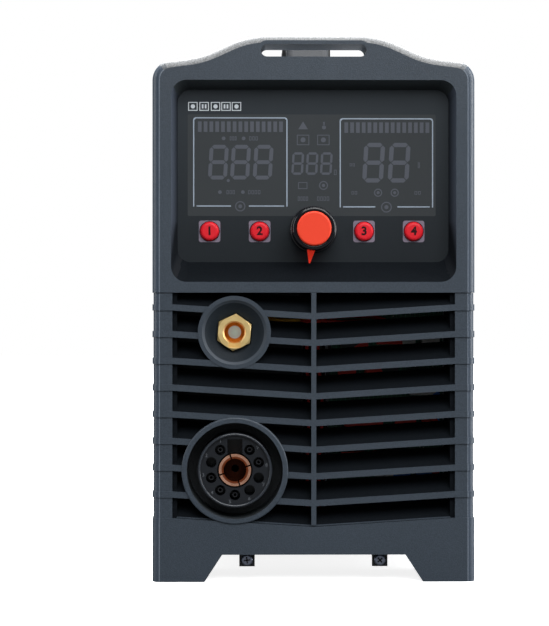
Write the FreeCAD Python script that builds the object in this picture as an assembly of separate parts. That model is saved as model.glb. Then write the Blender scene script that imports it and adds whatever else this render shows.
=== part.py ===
import FreeCAD, Part
import math
import os

# Plasma cutter unit. Millimetres, +Z up, the front faces -Y, +X is the right hand side seen from
# the front. The origin is under the middle of the unit, on the surface that it stands on.

V = FreeCAD.Vector

# ---- Clearances ------------------------------------------------------------------------------
SNUG = 0.05            # around a round piece that is held still
RUNNING = 0.05         # around a shaft that turns
LOOSE = 0.4            # around a button, a lever or a cover edge
SEAM = 0.3             # between the bezel and the lower frame

# ---- Case ------------------------------------------------------------------------------------
CASE_WIDTH = 208.0
CASE_DEPTH = 430.0     # from the front face to the rear face of the two end mouldings
SIDE_HEIGHT = 334.5
ARCH_RISE = 17.7       # height of the arch over the sides
ARCH_TOP_X = 42.0      # half width of the arch at its top
ARCH_FOOT_X = 72.0     # where the arch starts to rise
ARCH_FOOT_RISE = 4.0   # height of that point over the side height
ARCH_RADIUS = 60.0
ARCH_DEPTH = 28.0
CORNER_RADIUS = 13.0
EDGE_RADIUS = 5.0      # round edge of each end face
WALL = 3.0
MOULDING_DEPTH = 58.0
LEG_INNER_X = 70.4     # inner edge of a leg on the ground
SKIRT_HALF_X = 59.0    # half width of the skirt's lower edge
SKIRT_Z = 17.5
STRAP_SLOT_LENGTH = 68.0
STRAP_SLOT_HEIGHT = 8.0
STRAP_SLOT_DROP = 10.2 # from the top of the arch to the middle of the slot
STRAP_SLOT_WALL = 2.5

# ---- Display recess and what it holds --------------------------------------------------------
RECESS_HALF_X = 91.8
RECESS_LOW_Z = 193.0
RECESS_HIGH_Z = 323.0
RECESS_RADIUS = 10.0
RECESS_DEPTH = 12.0
OVERLAY_HALF_X = 88.0
OVERLAY_LOW_Z = 206.0
OVERLAY_HIGH_Z = 318.0
OVERLAY_RADIUS = 8.5
OVERLAY_THICK = 1.5
RECESS_FLOOR = 2.5
WINDOW_LEFT_X = -81.5
WINDOW_RIGHT_X = 79.6
WINDOW_LOW_Z = 236.0
WINDOW_HIGH_Z = 302.0
WINDOW_THICK = 0.8
WINDOW_LEDGE = 2.0     # width of floor under the window's edge
BOARD_DEPTH = 26.0     # from the front face to the display board
BOARD_THICK = 1.6
BOARD_HALF_X = 85.0
BOSS_RADIUS = 3.5
BOSS_INSET = 4.5

BUTTON_XS = (-67.3, -34.8, 33.0, 65.3)
BUTTON_Z = 226.0
BUTTON_RADIUS = 6.2
BUTTON_PROUD = 2.6     # height of the dome over the overlay
BUTTON_TRAVEL = 1.2
BUTTON_FLANGE = 1.2
BUTTON_FLANGE_RADIUS = 7.6
BUTTON_STEM_RADIUS = 2.0
SWITCH_SIZE = 11.0
SWITCH_HEIGHT = 6.4
SWITCH_HOLE_DEPTH = 3.6
STEM_ENTRY = 1.0       # how far the stem is in its switch at rest

KNOB_Z = 227.0
KNOB_GAP = 1.0         # between the knob and the overlay
KNOB_HEIGHT = 21.0
KNOB_RADIUS = 13.75
KNOB_SKIRT_RADIUS = 15.2
KNOB_SKIRT_THICK = 4.0
KNOB_CAP_RADIUS = 11.0
KNOB_CAP_THICK = 4.5
KNOB_RING_DROP = 1.5   # black ring below the front of the cap
KNOB_HOLLOW_RADIUS = 9.5
KNOB_HOLLOW_DEPTH = 5.0
POINTER_REACH = 22.0
POINTER_BASE = 5.8
POINTER_TIP = 0.8
POINTER_THICK = 3.0
POINTER_ANGLE = 7.0    # turned from straight down, towards the left
SHAFT_RADIUS = 3.0
SHAFT_IN_KNOB = 9.0
BUSH_RADIUS = 4.5
BUSH_STAND = 2.2       # bush in front of the recess floor
ENCODER_SIZE = 14.0
ENCODER_NUT_FLATS = 12.0

# ---- Louvre zone -----------------------------------------------------------------------------
ZONE_TOP_Z = 186.0
ZONE_HALF_X = 91.0
SLAT_TOP_Z = 178.6     # top edge of the first slat where it meets a cheek
SLAT_PITCH = 17.19
SLAT_COUNT = 8         # slats, with a sill blade under them
SLAT_HEIGHT = 4.0
SLAT_DROP = 5.7        # how much lower a slat is at the middle
SLAT_DEPTH = 18.0
BLADE_RISE = 10.5
BLADE_THICK = 2.4
BLADE_START = 1.5
CENTRE_BAR = 3.2
RAIL_WIDTH = 3.0
RAIL_DEPTH = 4.0
FLANGE_REACH = 7.0
ZONE_RECESS = 0.7      # the cheeks' surface lies this deep between their ribs

# ---- Torch socket ----------------------------------------------------------------------------
TORCH_X = -50.8
TORCH_Z = 71.5
TORCH_RING_RADIUS = 34.3
TORCH_RECESS_RADIUS = 30.9
TORCH_RING_PROUD = 1.0
TORCH_RECESS_DEPTH = 33.0
TORCH_BODY_RADIUS = 24.15
TORCH_BODY_START = 4.0
TORCH_RIM = 2.0
TORCH_RIM_STEP = 1.5
TORCH_NECK_RADIUS = 18.0
TORCH_NECK_END = 54.0
CONTACT_RADIUS = 10.4
CONTACT_BORE_RADIUS = 7.4
CONTACT_BORE_LENGTH = 14.0
CONTACT_GAP = 1.0
CONTACT_GAP_DEPTH = 15.0
CONTACT_SLOT = 1.0
CONTACT_SLOT_DEPTH = 11.0
CONTACT_SLOT_ANGLE = 17.5
CONTACT_GAS_RADIUS = 2.5
CONTACT_END = 62.0
PIN_CIRCLE = 16.1
PIN_HOLE_RADIUS = 3.45
PIN_HOLE_DEPTH = 18.0
PIN_STEP = 36.0        # degrees between pin holes; the key slot takes the first place
PIN_HOLES = 9
PIN_SLEEVES = (1, 3, 4, 5, 8, 9)
SLEEVE_RADIUS = 1.65
SLEEVE_BORE = 1.0
SLEEVE_DROP = 3.0
KEY_WIDTH = 9.7
KEY_REACH = 20.0
KEY_DEPTH = 16.0
TORCH_NUT_FLATS = 46.0
TORCH_NUT_THICK = 8.0

# ---- Work socket -----------------------------------------------------------------------------
WORK_X = -51.1
WORK_Z = 160.5
WORK_RING_RADIUS = 23.5
WORK_RING_PROUD = 0.5
DISH_RADIUS = 20.85
DISH_DEPTH = 7.0
DISH_FLOOR = 3.0
WORK_HEX_FLATS = 21.0
WORK_HEX_GAP = 0.7
WORK_HEX_TURN = 5.0
WORK_HEX_START = 1.0
WORK_HEX_END = 18.0
WORK_SHANK_RADIUS = 10.0
WORK_END = 56.0
WORK_BORE_RADIUS = 6.5
WORK_BORE_LENGTH = 18.0
WORK_BORE_CHAMFER = 1.0
WORK_KEY_WIDTH = 7.5
WORK_KEY_REACH = 9.8
WORK_KEY_DEPTH = 8.0
WORK_NECK_RADIUS = 13.5
WORK_NECK_END = 40.0
WORK_NUT_FLATS = 27.0
WORK_NUT_THICK = 8.0
STUD_RADIUS = 3.0
STUD_HEAD_RADIUS = 4.2
STUD_HEAD = 3.0
STUD_WELL = 4.0        # smaller well behind the bore, for the screw's head
STUD_END = 66.0
STUD_NUT_FLATS = 10.0
STUD_NUT_THICK = 5.0

# ---- Sheet metal -----------------------------------------------------------------------------
PLATE_Y = 36.0         # from the front face to the socket plate
PLATE_THICK = 2.0
PLATE_LEFT_X = -96.0
PLATE_RIGHT_X = -8.0
PLATE_FOOT = 20.0
TRAY_THICK = 1.5
TRAY_FLANGE_Z = 45.0
TRAY_END_GAP = 4.0
COVER_THICK = 1.2
COVER_LOW_Z = 24.0
COVER_LAP = 15.0       # how far the cover reaches into each moulding
COVER_RADIUS = 10.0
LUG_X = 43.0
LUG_WIDTH = 10.0
LUG_LOW_Z = 9.0
LUG_THICK = 2.0
LUG_Y = 8.0
LUG_FOOT = 18.0

# ---- Carry handle ----------------------------------------------------------------------------
HANDLE_LENGTH = 190.0
HANDLE_WIDTH = 30.0
HANDLE_RISE = 18.8     # height of the handle over the arch
HANDLE_THICK = 16.0
HANDLE_SLOPE = 18.0    # how far each end leans in
HANDLE_POST = 28.0
HANDLE_FOOT_WIDTH = 48.0
HANDLE_FOOT_LENGTH = 40.0
HANDLE_FOOT_THICK = 5.0
GRIP_LENGTH = 96.0
GRIP_THICK = 2.5

# ---- Rear end --------------------------------------------------------------------------------
FAN_Z = 104.0
FAN_SIZE = 120.0
FAN_THICK = 38.0
FAN_BORE_RADIUS = 56.5
FAN_GAP = 1.2          # between the blades and the bore
FAN_HUB_RADIUS = 27.0
FAN_BLADES = 7
FAN_BLADE_CHORD = 30.0
FAN_BLADE_THICK = 1.8
FAN_BLADE_ANGLE = 48.0
FAN_BASE_THICK = 3.0
FAN_SCREW_OFFSET = 52.5
FAN_PIN_RADIUS = 3.0
GUARD_WIRE = 1.1
GUARD_RINGS = (18.0, 30.0, 42.0, 54.0)

SWITCH_X = 55.0
SWITCH_Z = 266.0
SWITCH_HALF_X = 18.0
SWITCH_HALF_Z = 27.0
SWITCH_PROUD = 2.0
SWITCH_INSIDE = 48.0
SWITCH_WELL_HALF_X = 8.0
SWITCH_WELL_HALF_Z = 14.0
SWITCH_WELL_DEPTH = 16.0
LEVER_HUB_RADIUS = 5.0
LEVER_PIN_RADIUS = 2.0
LEVER_PIVOT_DEPTH = 8.0
LEVER_LENGTH = 22.0
LEVER_THICK = 5.0
LEVER_REST_ANGLE = 24.0

GLAND_X = 55.0
GLAND_Z = 200.0
GLAND_BORE_RADIUS = 5.5
GLAND_THREAD_RADIUS = 9.0
GLAND_FLATS = 27.0
GLAND_HEX_THICK = 7.0
GLAND_DOME_RADIUS = 12.0
GLAND_DOME = 14.0
GLAND_INSIDE = 14.0
GLAND_NUT_THICK = 6.0

CONTROL_X = 14.0
CONTROL_Z = 258.0
CONTROL_FLANGE = 22.0
CONTROL_RADIUS = 8.0
CONTROL_WELL_RADIUS = 6.4
CONTROL_INSIDE = 16.0
CONTROL_PROUD = 5.0
CONTROL_PINS = 5

REG_X = -50.0
REG_LOW_Z = 215.0
REG_HIGH_Z = 248.0
REG_SIZE = 40.0
REG_STAND = 8.0        # gap behind the regulator, filled by its bracket
REG_BONNET_RADIUS = 15.0
REG_BONNET = 12.0
REG_STEM_RADIUS = 7.0
REG_KNOB_RADIUS = 16.5
REG_KNOB_HEIGHT = 26.0
REG_STEM = 18.0
BOWL_RADIUS = 17.0
BOWL_HEIGHT = 44.0
BOWL_WALL = 2.2
DRAIN_RADIUS = 4.0
DRAIN_LENGTH = 6.0
BRACKET_THICK = 2.0
PORT_Z = 232.0
PORT_FLATS = 17.0
PORT_HEX = 8.0
SPIGOT_RADIUS = 4.75
SPIGOT_LENGTH = 19.0
SPIGOT_BORE = 3.0
ELBOW_RADIUS = 6.0
ELBOW_X = -14.0
ELBOW_IN = 18.0
VALVE_SIZE = 30.0
COIL_RADIUS = 12.5
COIL_HEIGHT = 32.0
BARB_COLLAR_RADIUS = 5.5
BARB_COLLAR = 6.0

# ---- Inside ----------------------------------------------------------------------------------
HOSE_RADIUS = 4.0
LEAD_RADIUS = 4.0
WIRE_RADIUS = 1.3
SINK_FRONT_Y = 0.0
SINK_LENGTH = 140.0
SINK_WIDTH = 80.0
SINK_GAP = 10.0
SINK_TOP_Z = 125.0
SINK_BASE = 8.0
SINK_FIN_LOW_Z = 32.0
SINK_FINS = 12
SINK_FIN_THICK = 2.0
POWER_BOARD_Z = 136.0
POWER_BOARD_HALF_X = 88.0
POWER_BOARD_FRONT_Y = -38.0
POWER_BOARD_LENGTH = 178.0
STANDOFF_RADIUS = 3.5
CAPACITOR_RADIUS = 17.5
CAPACITOR_HEIGHT = 50.0
CONTROL_BOARD_Y = 60.0
CONTROL_BOARD_LEFT_X = 12.0
CONTROL_BOARD_RIGHT_X = 89.0
CONTROL_BOARD_LOW_Z = 55.0
CONTROL_BOARD_HIGH_Z = 178.0
SPACER_LENGTH = 8.0
SPACER_RADIUS = 3.0
BOARD_EDGE = 6.0

# ---- Screws ----------------------------------------------------------------------------------
M4_HEAD_RADIUS = 3.9
M4_HEAD = 2.4
M4_RADIUS = 2.0
M4_LENGTH = 8.0
M3_HEAD_RADIUS = 2.8
M3_HEAD = 1.8
M3_RADIUS = 1.5
M3_LENGTH = 6.0
SCREW_ROOM = 0.1

# ---- Worked out from the above ---------------------------------------------------------------
FRONT_PROUD = KNOB_HEIGHT + KNOB_GAP - RECESS_DEPTH
REAR_PROUD = REG_STAND + REG_SIZE
FRONT_Y = FRONT_PROUD - (CASE_DEPTH + FRONT_PROUD + REAR_PROUD) / 2
REAR_Y = FRONT_Y + CASE_DEPTH
MIDDLE_Y = (FRONT_Y + REAR_Y) / 2
HALF_WIDTH = CASE_WIDTH / 2
ARCH_HEIGHT = SIDE_HEIGHT + ARCH_RISE
STRAP_SLOT_Z = ARCH_HEIGHT - STRAP_SLOT_DROP
HANDLE_TOP_Z = ARCH_HEIGHT + HANDLE_RISE
FLOOR_FRONT = RECESS_DEPTH + OVERLAY_THICK
FLOOR_BACK = FLOOR_FRONT + RECESS_FLOOR
BOARD_BACK = BOARD_DEPTH + BOARD_THICK
TRAY_Z = SKIRT_Z + WALL
TRAY_TOP_Z = TRAY_Z + TRAY_THICK
COVER_HALF_X = HALF_WIDTH - WALL - LOOSE
COVER_TOP_Z = SIDE_HEIGHT - WALL - LOOSE
TRAY_HALF_X = COVER_HALF_X - COVER_THICK - LOOSE / 2
PLATE_BACK = PLATE_Y + PLATE_THICK
WORK_ZONE_LOW_Z = SLAT_TOP_Z - SLAT_PITCH * SLAT_COUNT
HANDLE_Y = MIDDLE_Y
SIDE_SCREW_Z = (COVER_LOW_Z + TRAY_FLANGE_Z) / 2
SWITCH_FRONT = BOARD_DEPTH - SWITCH_HEIGHT
WORK_BORE_END = WORK_HEX_START + WORK_BORE_LENGTH
STUD_SEAT = WORK_BORE_END + STUD_WELL


# ---- Shape helpers ---------------------------------------------------------------------------
def front(depth):
    """The y of a point this deep behind the front face."""
    return FRONT_Y + depth


def rear(depth):
    """The y of a point this deep inside the rear face; outside it, the depth is negative."""
    return REAR_Y - depth


def block(x0, x1, y0, y1, z0, z1):
    return Part.makeBox(x1 - x0, y1 - y0, z1 - z0, V(x0, y0, z0))


def rod(radius, start, end):
    start = V(*start)
    run = V(*end) - start
    return Part.makeCylinder(radius, run.Length, start, run)


def rod_y(radius, x, z, y0, y1):
    return rod(radius, (x, y0, z), (x, y1, z))


def joined(shapes):
    shapes = list(shapes)
    if len(shapes) == 1:
        return shapes[0]
    return shapes[0].fuse(shapes[1:]).removeSplitter()


def cut_away(shape, tools):
    return shape.cut(list(tools))


def corner_arc(before, corner, after, radius):
    """Start, middle and end of the arc that rounds a corner."""
    to_before = (before - corner).normalize()
    to_after = (after - corner).normalize()
    half = to_before.getAngle(to_after) / 2
    reach = radius / math.tan(half)
    middle_line = (to_before + to_after).normalize()
    middle = corner + middle_line * (radius / math.sin(half) - radius)
    return corner + to_before * reach, middle, corner + to_after * reach


def rounded_edges(points, radii, closed):
    """Lines through the points, with an arc at each point that has a radius."""
    count = len(points)
    arcs = []
    for i in range(count):
        inside = closed or 0 < i < count - 1
        if radii[i] > 0 and inside:
            arcs.append(corner_arc(points[i - 1], points[i], points[(i + 1) % count], radii[i]))
        else:
            arcs.append((points[i], None, points[i]))
    edges = []
    for i in range(count):
        start, middle, end = arcs[i]
        if middle is not None:
            edges.append(Part.Arc(start, middle, end).toShape())
        if i < count - 1 or closed:
            next_start = arcs[(i + 1) % count][0]
            if (next_start - end).Length > 1e-6:
                edges.append(Part.LineSegment(end, next_start).toShape())
    return edges


def outline_y(corners, y):
    """Closed wire at y through corners given as (x, z, radius)."""
    points = [V(x, y, z) for x, z, _ in corners]
    return Part.Wire(rounded_edges(points, [radius for _, _, radius in corners], True))


def prism_y(corners, y0, y1):
    return Part.Face(outline_y(corners, y0)).extrude(V(0, y1 - y0, 0))


def prism_x(corners, x0, x1):
    """Prism along X through corners given as (y, z, radius)."""
    points = [V(x0, y, z) for y, z, _ in corners]
    wire = Part.Wire(rounded_edges(points, [radius for _, _, radius in corners], True))
    return Part.Face(wire).extrude(V(x1 - x0, 0, 0))


def rectangle(x0, x1, z0, z1, radius):
    return [(x0, z0, radius), (x1, z0, radius), (x1, z1, radius), (x0, z1, radius)]


def hexagon(x, z, flats, turn):
    """Corners of a hexagon with a point at the top, then turned by so many degrees."""
    reach = flats / math.sqrt(3)
    corners = []
    for i in range(6):
        angle = math.radians(60 * i + turn)
        corners.append((x + reach * math.sin(angle), z + reach * math.cos(angle), 0))
    return corners


def tube_along(points, radius):
    """A round lead or hose: straight runs joined by arcs as large as the runs allow."""
    points = [V(*point) for point in points]
    radii = [0.0]
    for i in range(1, len(points) - 1):
        run_in = points[i] - points[i - 1]
        run_out = points[i + 1] - points[i]
        turn = run_in.getAngle(run_out)
        radii.append(0.45 * min(run_in.Length, run_out.Length) / math.tan(turn / 2))
    radii.append(0.0)
    path = Part.Wire(rounded_edges(points, radii, False))
    section = Part.Wire([Part.makeCircle(radius, points[0], points[1] - points[0])])
    return path.makePipeShell([section], True, False)


def screw(head_at, direction, head_radius, head, radius, length):
    """A pan head screw; head_at is the middle of the head's seat, direction points into the work."""
    seat = V(*head_at)
    way = V(*direction).normalize()
    top = Part.makeCylinder(head_radius, head, seat - way * head, way)
    rim = [edge for edge in top.Edges if (edge.BoundBox.Center - (seat - way * head)).Length < 1e-3]
    top = top.makeFillet(head * 0.6, rim)
    return top.fuse(Part.makeCylinder(radius, length, seat, way))


def m4(head_at, direction):
    return screw(head_at, direction, M4_HEAD_RADIUS, M4_HEAD, M4_RADIUS, M4_LENGTH)


def m3(head_at, direction):
    return screw(head_at, direction, M3_HEAD_RADIUS, M3_HEAD, M3_RADIUS, M3_LENGTH)


def screw_hole(head_at, direction, radius, length):
    """Room for a screw's shank, starting a little before its seat."""
    seat = V(*head_at)
    way = V(*direction).normalize()
    return Part.makeCylinder(radius + SCREW_ROOM, length + 2 * SCREW_ROOM, seat - way * SCREW_ROOM, way)


def group(shapes):
    return Part.makeCompound(list(shapes))


# ---- End mouldings ---------------------------------------------------------------------------
def case_corners(arched):
    """Outline of the case seen from the front, as (x, z, radius)."""
    left = [(-HALF_WIDTH, 0, 0), (-HALF_WIDTH, SIDE_HEIGHT, CORNER_RADIUS)]
    if arched:
        left.append((-ARCH_FOOT_X, SIDE_HEIGHT + ARCH_FOOT_RISE, ARCH_RADIUS))
        left.append((-ARCH_TOP_X, ARCH_HEIGHT, ARCH_RADIUS))
    right = [(-x, z, radius) for x, z, radius in reversed(left)]
    feet = [(LEG_INNER_X, 0, 0), (SKIRT_HALF_X, SKIRT_Z, 0)]
    feet += [(-SKIRT_HALF_X, SKIRT_Z, 0), (-LEG_INNER_X, 0, 0)]
    return left + right + feet


def case_prism(arched, inset, depth0, depth1):
    face = Part.Face(outline_y(case_corners(arched), front(depth0)))
    if inset > 0:
        face = face.makeOffset2D(-inset, 2)
    return face.extrude(V(0, depth1 - depth0, 0))


def front_rounded(solid, depth, radius):
    """Rounds the outer edge of the end face, but not the edges of the skirt and legs."""
    y = front(depth)
    edges = []
    for edge in solid.Edges:
        flat = abs(edge.BoundBox.YMin - y) < 1e-4 and abs(edge.BoundBox.YMax - y) < 1e-4
        if flat and edge.BoundBox.ZMax > SKIRT_Z + 1:
            edges.append(edge)
    return solid.makeFillet(radius, edges)


def moulding_outside(inset):
    """Solid outside of an end moulding, drawn in by inset."""
    face = front_rounded(case_prism(True, inset, inset, ARCH_DEPTH), inset, EDGE_RADIUS - inset)
    return face.fuse(case_prism(False, inset, ARCH_DEPTH, MOULDING_DEPTH))


def strap_slot(extra):
    """Stadium through the arch, larger by extra all round."""
    half_x = STRAP_SLOT_LENGTH / 2 + extra
    half_z = STRAP_SLOT_HEIGHT / 2 + extra
    corners = rectangle(-half_x, half_x, STRAP_SLOT_Z - half_z, STRAP_SLOT_Z + half_z, half_z - 0.001)
    return prism_y(corners, front(0), front(ARCH_DEPTH))


def moulding_shell():
    """Hollow end moulding with its arch and strap slot, open towards the middle of the case."""
    shell = moulding_outside(0)
    room = case_prism(False, WALL, WALL, MOULDING_DEPTH + 1)
    arch_room = case_prism(True, WALL, WALL, ARCH_DEPTH - WALL)
    arch_room = arch_room.common(block(-HALF_WIDTH, HALF_WIDTH, front(0), front(ARCH_DEPTH),
                                       SIDE_HEIGHT - WALL - 1, ARCH_HEIGHT))
    shell = cut_away(shell, [room, arch_room])
    return shell.fuse(strap_slot(STRAP_SLOT_WALL)).cut(strap_slot(0)).removeSplitter()


def slab(z0, z1):
    return block(-HALF_WIDTH - 1, HALF_WIDTH + 1, front(-5), front(MOULDING_DEPTH + 5), z0, z1)


def board_boss_places():
    x = BOARD_HALF_X - BOSS_INSET
    return [(side * x, z) for side in (-1, 1)
            for z in (OVERLAY_LOW_Z + BOSS_INSET, OVERLAY_HIGH_Z - BOSS_INSET)]


def recess_loft(grow, depth0, depth1):
    """Sloping sides of the display recess, larger by grow all round."""
    outer = rectangle(-RECESS_HALF_X - grow, RECESS_HALF_X + grow,
                      RECESS_LOW_Z - grow, RECESS_HIGH_Z + grow, RECESS_RADIUS + grow)
    inner = rectangle(-OVERLAY_HALF_X - grow, OVERLAY_HALF_X + grow,
                      OVERLAY_LOW_Z - grow, OVERLAY_HIGH_Z + grow, OVERLAY_RADIUS + grow)
    wires = [outline_y(outer, front(depth0)), outline_y(inner, front(depth1))]
    return Part.makeLoft(wires, True, True)


def overlay_corners():
    return rectangle(-OVERLAY_HALF_X, OVERLAY_HALF_X, OVERLAY_LOW_Z, OVERLAY_HIGH_Z, OVERLAY_RADIUS)


def front_bezel():
    shell = moulding_shell().common(slab(ZONE_TOP_Z + SEAM / 2, ARCH_HEIGHT + 10))
    tub = recess_loft(WALL, 0, FLOOR_BACK)
    pocket = prism_y(overlay_corners(), front(RECESS_DEPTH - 0.5), front(FLOOR_FRONT))
    bezel = cut_away(shell.fuse(tub), [recess_loft(0, 0, RECESS_DEPTH), pocket])
    window = rectangle(WINDOW_LEFT_X + WINDOW_LEDGE, WINDOW_RIGHT_X - WINDOW_LEDGE,
                       WINDOW_LOW_Z + WINDOW_LEDGE, WINDOW_HIGH_Z - WINDOW_LEDGE, 0)
    holes = [prism_y(window, front(FLOOR_FRONT - 1), front(FLOOR_BACK + 1))]
    for x in BUTTON_XS:
        holes.append(rod_y(BUTTON_RADIUS + LOOSE, x, BUTTON_Z, front(FLOOR_FRONT - 1), front(FLOOR_BACK + 1)))
    holes.append(rod_y(BUSH_RADIUS + SNUG, 0, KNOB_Z, front(FLOOR_FRONT - 1), front(FLOOR_BACK + 1)))
    bezel = cut_away(bezel, holes)
    bosses = [rod_y(BOSS_RADIUS, x, z, front(FLOOR_BACK - 0.5), front(BOARD_DEPTH))
              for x, z in board_boss_places()]
    bores = [screw_hole((x, front(BOARD_BACK), z), (0, -1, 0), M3_RADIUS, M3_LENGTH)
             for x, z in board_boss_places()]
    return cut_away(joined([bezel] + bosses), bores)


def slat_tops():
    """Height of each slat's top edge beside the cheeks, then of the sill blade."""
    return [SLAT_TOP_Z - SLAT_PITCH * i for i in range(SLAT_COUNT + 1)]


def groove_bands():
    """The stretches of the cheeks between their ribs, as (low z, high z)."""
    tops = slat_tops()
    bands = [(tops[0], ZONE_TOP_Z)]
    for i in range(1, SLAT_COUNT + 1):
        bands.append((tops[i], tops[i - 1] - SLAT_HEIGHT))
    return bands


def zone_window(depth0, depth1):
    """The louvre opening between the cheeks; its lower edge drops to the middle."""
    low = WORK_ZONE_LOW_Z
    corners = [(-ZONE_HALF_X, low, 0), (0, low - SLAT_DROP, 0), (ZONE_HALF_X, low, 0),
               (ZONE_HALF_X, ZONE_TOP_Z + 1, 0), (-ZONE_HALF_X, ZONE_TOP_Z + 1, 0)]
    return prism_y(corners, front(depth0), front(depth1))


def front_frame():
    """Cheeks, skirt and legs in one moulding, with ribs on the cheeks."""
    outside = moulding_outside(0)
    inside = moulding_outside(ZONE_RECESS)
    skins = []
    for low, high in groove_bands():
        skins.append(outside.common(slab(low, high)).cut(inside))
    frame = moulding_shell().common(slab(-1, ZONE_TOP_Z - SEAM / 2))
    frame = cut_away(frame, skins + [zone_window(-1, WALL + 1)])
    holes = [screw_hole(place, way, M4_RADIUS, M4_LENGTH) for place, way in lug_screw_places()]
    holes.append(rod_y(TORCH_RING_RADIUS + SNUG, TORCH_X, TORCH_Z, front(-1), front(PLATE_Y)))
    return cut_away(frame, holes)


def slat_half(side, top, blade_only):
    """One half of a slat: a flat bar at the front and a blade that rises behind it."""
    middle_top = top - SLAT_DROP
    profile = [(0, 0), (0, -SLAT_HEIGHT), (BLADE_START + 1, -SLAT_HEIGHT),
               (SLAT_DEPTH, BLADE_RISE - BLADE_THICK), (SLAT_DEPTH, BLADE_RISE), (BLADE_START, 0)]
    points = [V(0, front(depth), middle_top + height) for depth, height in profile]
    face = Part.Face(Part.makePolygon(points + [points[0]]))
    half = face.extrude(V(side * ZONE_HALF_X, 0, SLAT_DROP))
    if blade_only:
        half = half.cut(slab(0, top + BLADE_RISE).common(
            block(-HALF_WIDTH, HALF_WIDTH, front(-1), front(WALL), 0, ARCH_HEIGHT)))
    return half


def louvre_panel():
    parts = []
    for i, top in enumerate(slat_tops()):
        for side in (-1, 1):
            parts.append(slat_half(side, top, i == SLAT_COUNT))
    low = WORK_ZONE_LOW_Z
    bar_half = CENTRE_BAR / 2
    parts.append(block(-bar_half, bar_half, front(0), front(SLAT_DEPTH), low - SLAT_DROP + 1, ZONE_TOP_Z))
    for side in (-1, 1):
        inner = side * (ZONE_HALF_X - RAIL_WIDTH)
        edge = side * ZONE_HALF_X
        reach = side * (ZONE_HALF_X + FLANGE_REACH)
        x0, x1 = sorted((inner, edge))
        parts.append(block(x0, x1, front(WALL), front(SLAT_DEPTH), low - 2, ZONE_TOP_Z))
        x0, x1 = sorted((inner, reach))
        parts.append(block(x0, x1, front(WALL), front(WALL + RAIL_DEPTH), low - 2, ZONE_TOP_Z))
    panel = joined(parts)
    holes = []
    for radius, x, z in ((TORCH_RING_RADIUS, TORCH_X, TORCH_Z), (WORK_RING_RADIUS, WORK_X, WORK_Z)):
        holes.append(rod_y(radius + SNUG, x, z, front(-1), front(SLAT_DEPTH + 1)))
    return cut_away(panel, holes)


# ---- Display ---------------------------------------------------------------------------------
def window_corners():
    return rectangle(WINDOW_LEFT_X, WINDOW_RIGHT_X, WINDOW_LOW_Z, WINDOW_HIGH_Z, 1.0)


def display_overlay():
    plate = prism_y(overlay_corners(), front(RECESS_DEPTH), front(FLOOR_FRONT))
    holes = [prism_y(window_corners(), front(RECESS_DEPTH), front(RECESS_DEPTH + WINDOW_THICK))]
    sight = rectangle(WINDOW_LEFT_X + WINDOW_LEDGE, WINDOW_RIGHT_X - WINDOW_LEDGE,
                      WINDOW_LOW_Z + WINDOW_LEDGE, WINDOW_HIGH_Z - WINDOW_LEDGE, 0)
    holes.append(prism_y(sight, front(RECESS_DEPTH), front(FLOOR_FRONT)))
    for x in BUTTON_XS:
        holes.append(rod_y(BUTTON_RADIUS + LOOSE, x, BUTTON_Z, front(RECESS_DEPTH), front(FLOOR_FRONT)))
    nut_room = ENCODER_NUT_FLATS / math.sqrt(3) + LOOSE
    holes.append(rod_y(nut_room, 0, KNOB_Z, front(RECESS_DEPTH), front(FLOOR_FRONT)))
    return cut_away(plate, holes)


def display_window():
    return prism_y(window_corners(), front(RECESS_DEPTH), front(RECESS_DEPTH + WINDOW_THICK))


def display_module():
    corners = rectangle(WINDOW_LEFT_X, WINDOW_RIGHT_X, WINDOW_LOW_Z, WINDOW_HIGH_Z, 1.5)
    return prism_y(corners, front(FLOOR_BACK), front(BOARD_DEPTH))


def display_board():
    corners = rectangle(-BOARD_HALF_X, BOARD_HALF_X, OVERLAY_LOW_Z, OVERLAY_HIGH_Z, 2.0)
    board = prism_y(corners, front(BOARD_DEPTH), front(BOARD_BACK))
    holes = [rod_y(M3_RADIUS + SCREW_ROOM, x, z, front(BOARD_DEPTH), front(BOARD_BACK))
             for x, z in board_boss_places()]
    return cut_away(board, holes)


def button(x):
    """A red push button: domed cap, flange behind the floor and a stem into its switch."""
    face = front(RECESS_DEPTH)
    flange_y = front(FLOOR_BACK + RUNNING)
    cap = rod_y(BUTTON_RADIUS, x, BUTTON_Z, face - BUTTON_PROUD, flange_y)
    rim = [edge for edge in cap.Edges if abs(edge.BoundBox.YMax - (face - BUTTON_PROUD)) < 1e-3]
    cap = cap.makeFillet(BUTTON_PROUD * 0.8, rim)
    flange = rod_y(BUTTON_FLANGE_RADIUS, x, BUTTON_Z, flange_y, flange_y + BUTTON_FLANGE)
    stem = rod_y(BUTTON_STEM_RADIUS, x, BUTTON_Z, flange_y, front(SWITCH_FRONT + STEM_ENTRY))
    return joined([cap, flange, stem])


def button_switches():
    half = SWITCH_SIZE / 2
    bodies = []
    for x in BUTTON_XS:
        body = block(x - half, x + half, front(SWITCH_FRONT), front(BOARD_DEPTH), BUTTON_Z - half, BUTTON_Z + half)
        hole = rod_y(BUTTON_STEM_RADIUS + LOOSE, x, BUTTON_Z,
                     front(SWITCH_FRONT), front(SWITCH_FRONT + SWITCH_HOLE_DEPTH))
        bodies.append(body.cut(hole))
    return group(bodies)


def encoder_body():
    half = ENCODER_SIZE / 2
    body = block(-half, half, front(FLOOR_BACK), front(BOARD_DEPTH), KNOB_Z - half, KNOB_Z + half)
    bush = rod_y(BUSH_RADIUS, 0, KNOB_Z, front(FLOOR_FRONT - BUSH_STAND), front(FLOOR_BACK))
    bore = rod_y(SHAFT_RADIUS + RUNNING, 0, KNOB_Z, front(0), front(BOARD_DEPTH - 2))
    return joined([body, bush]).cut(bore)


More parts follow.
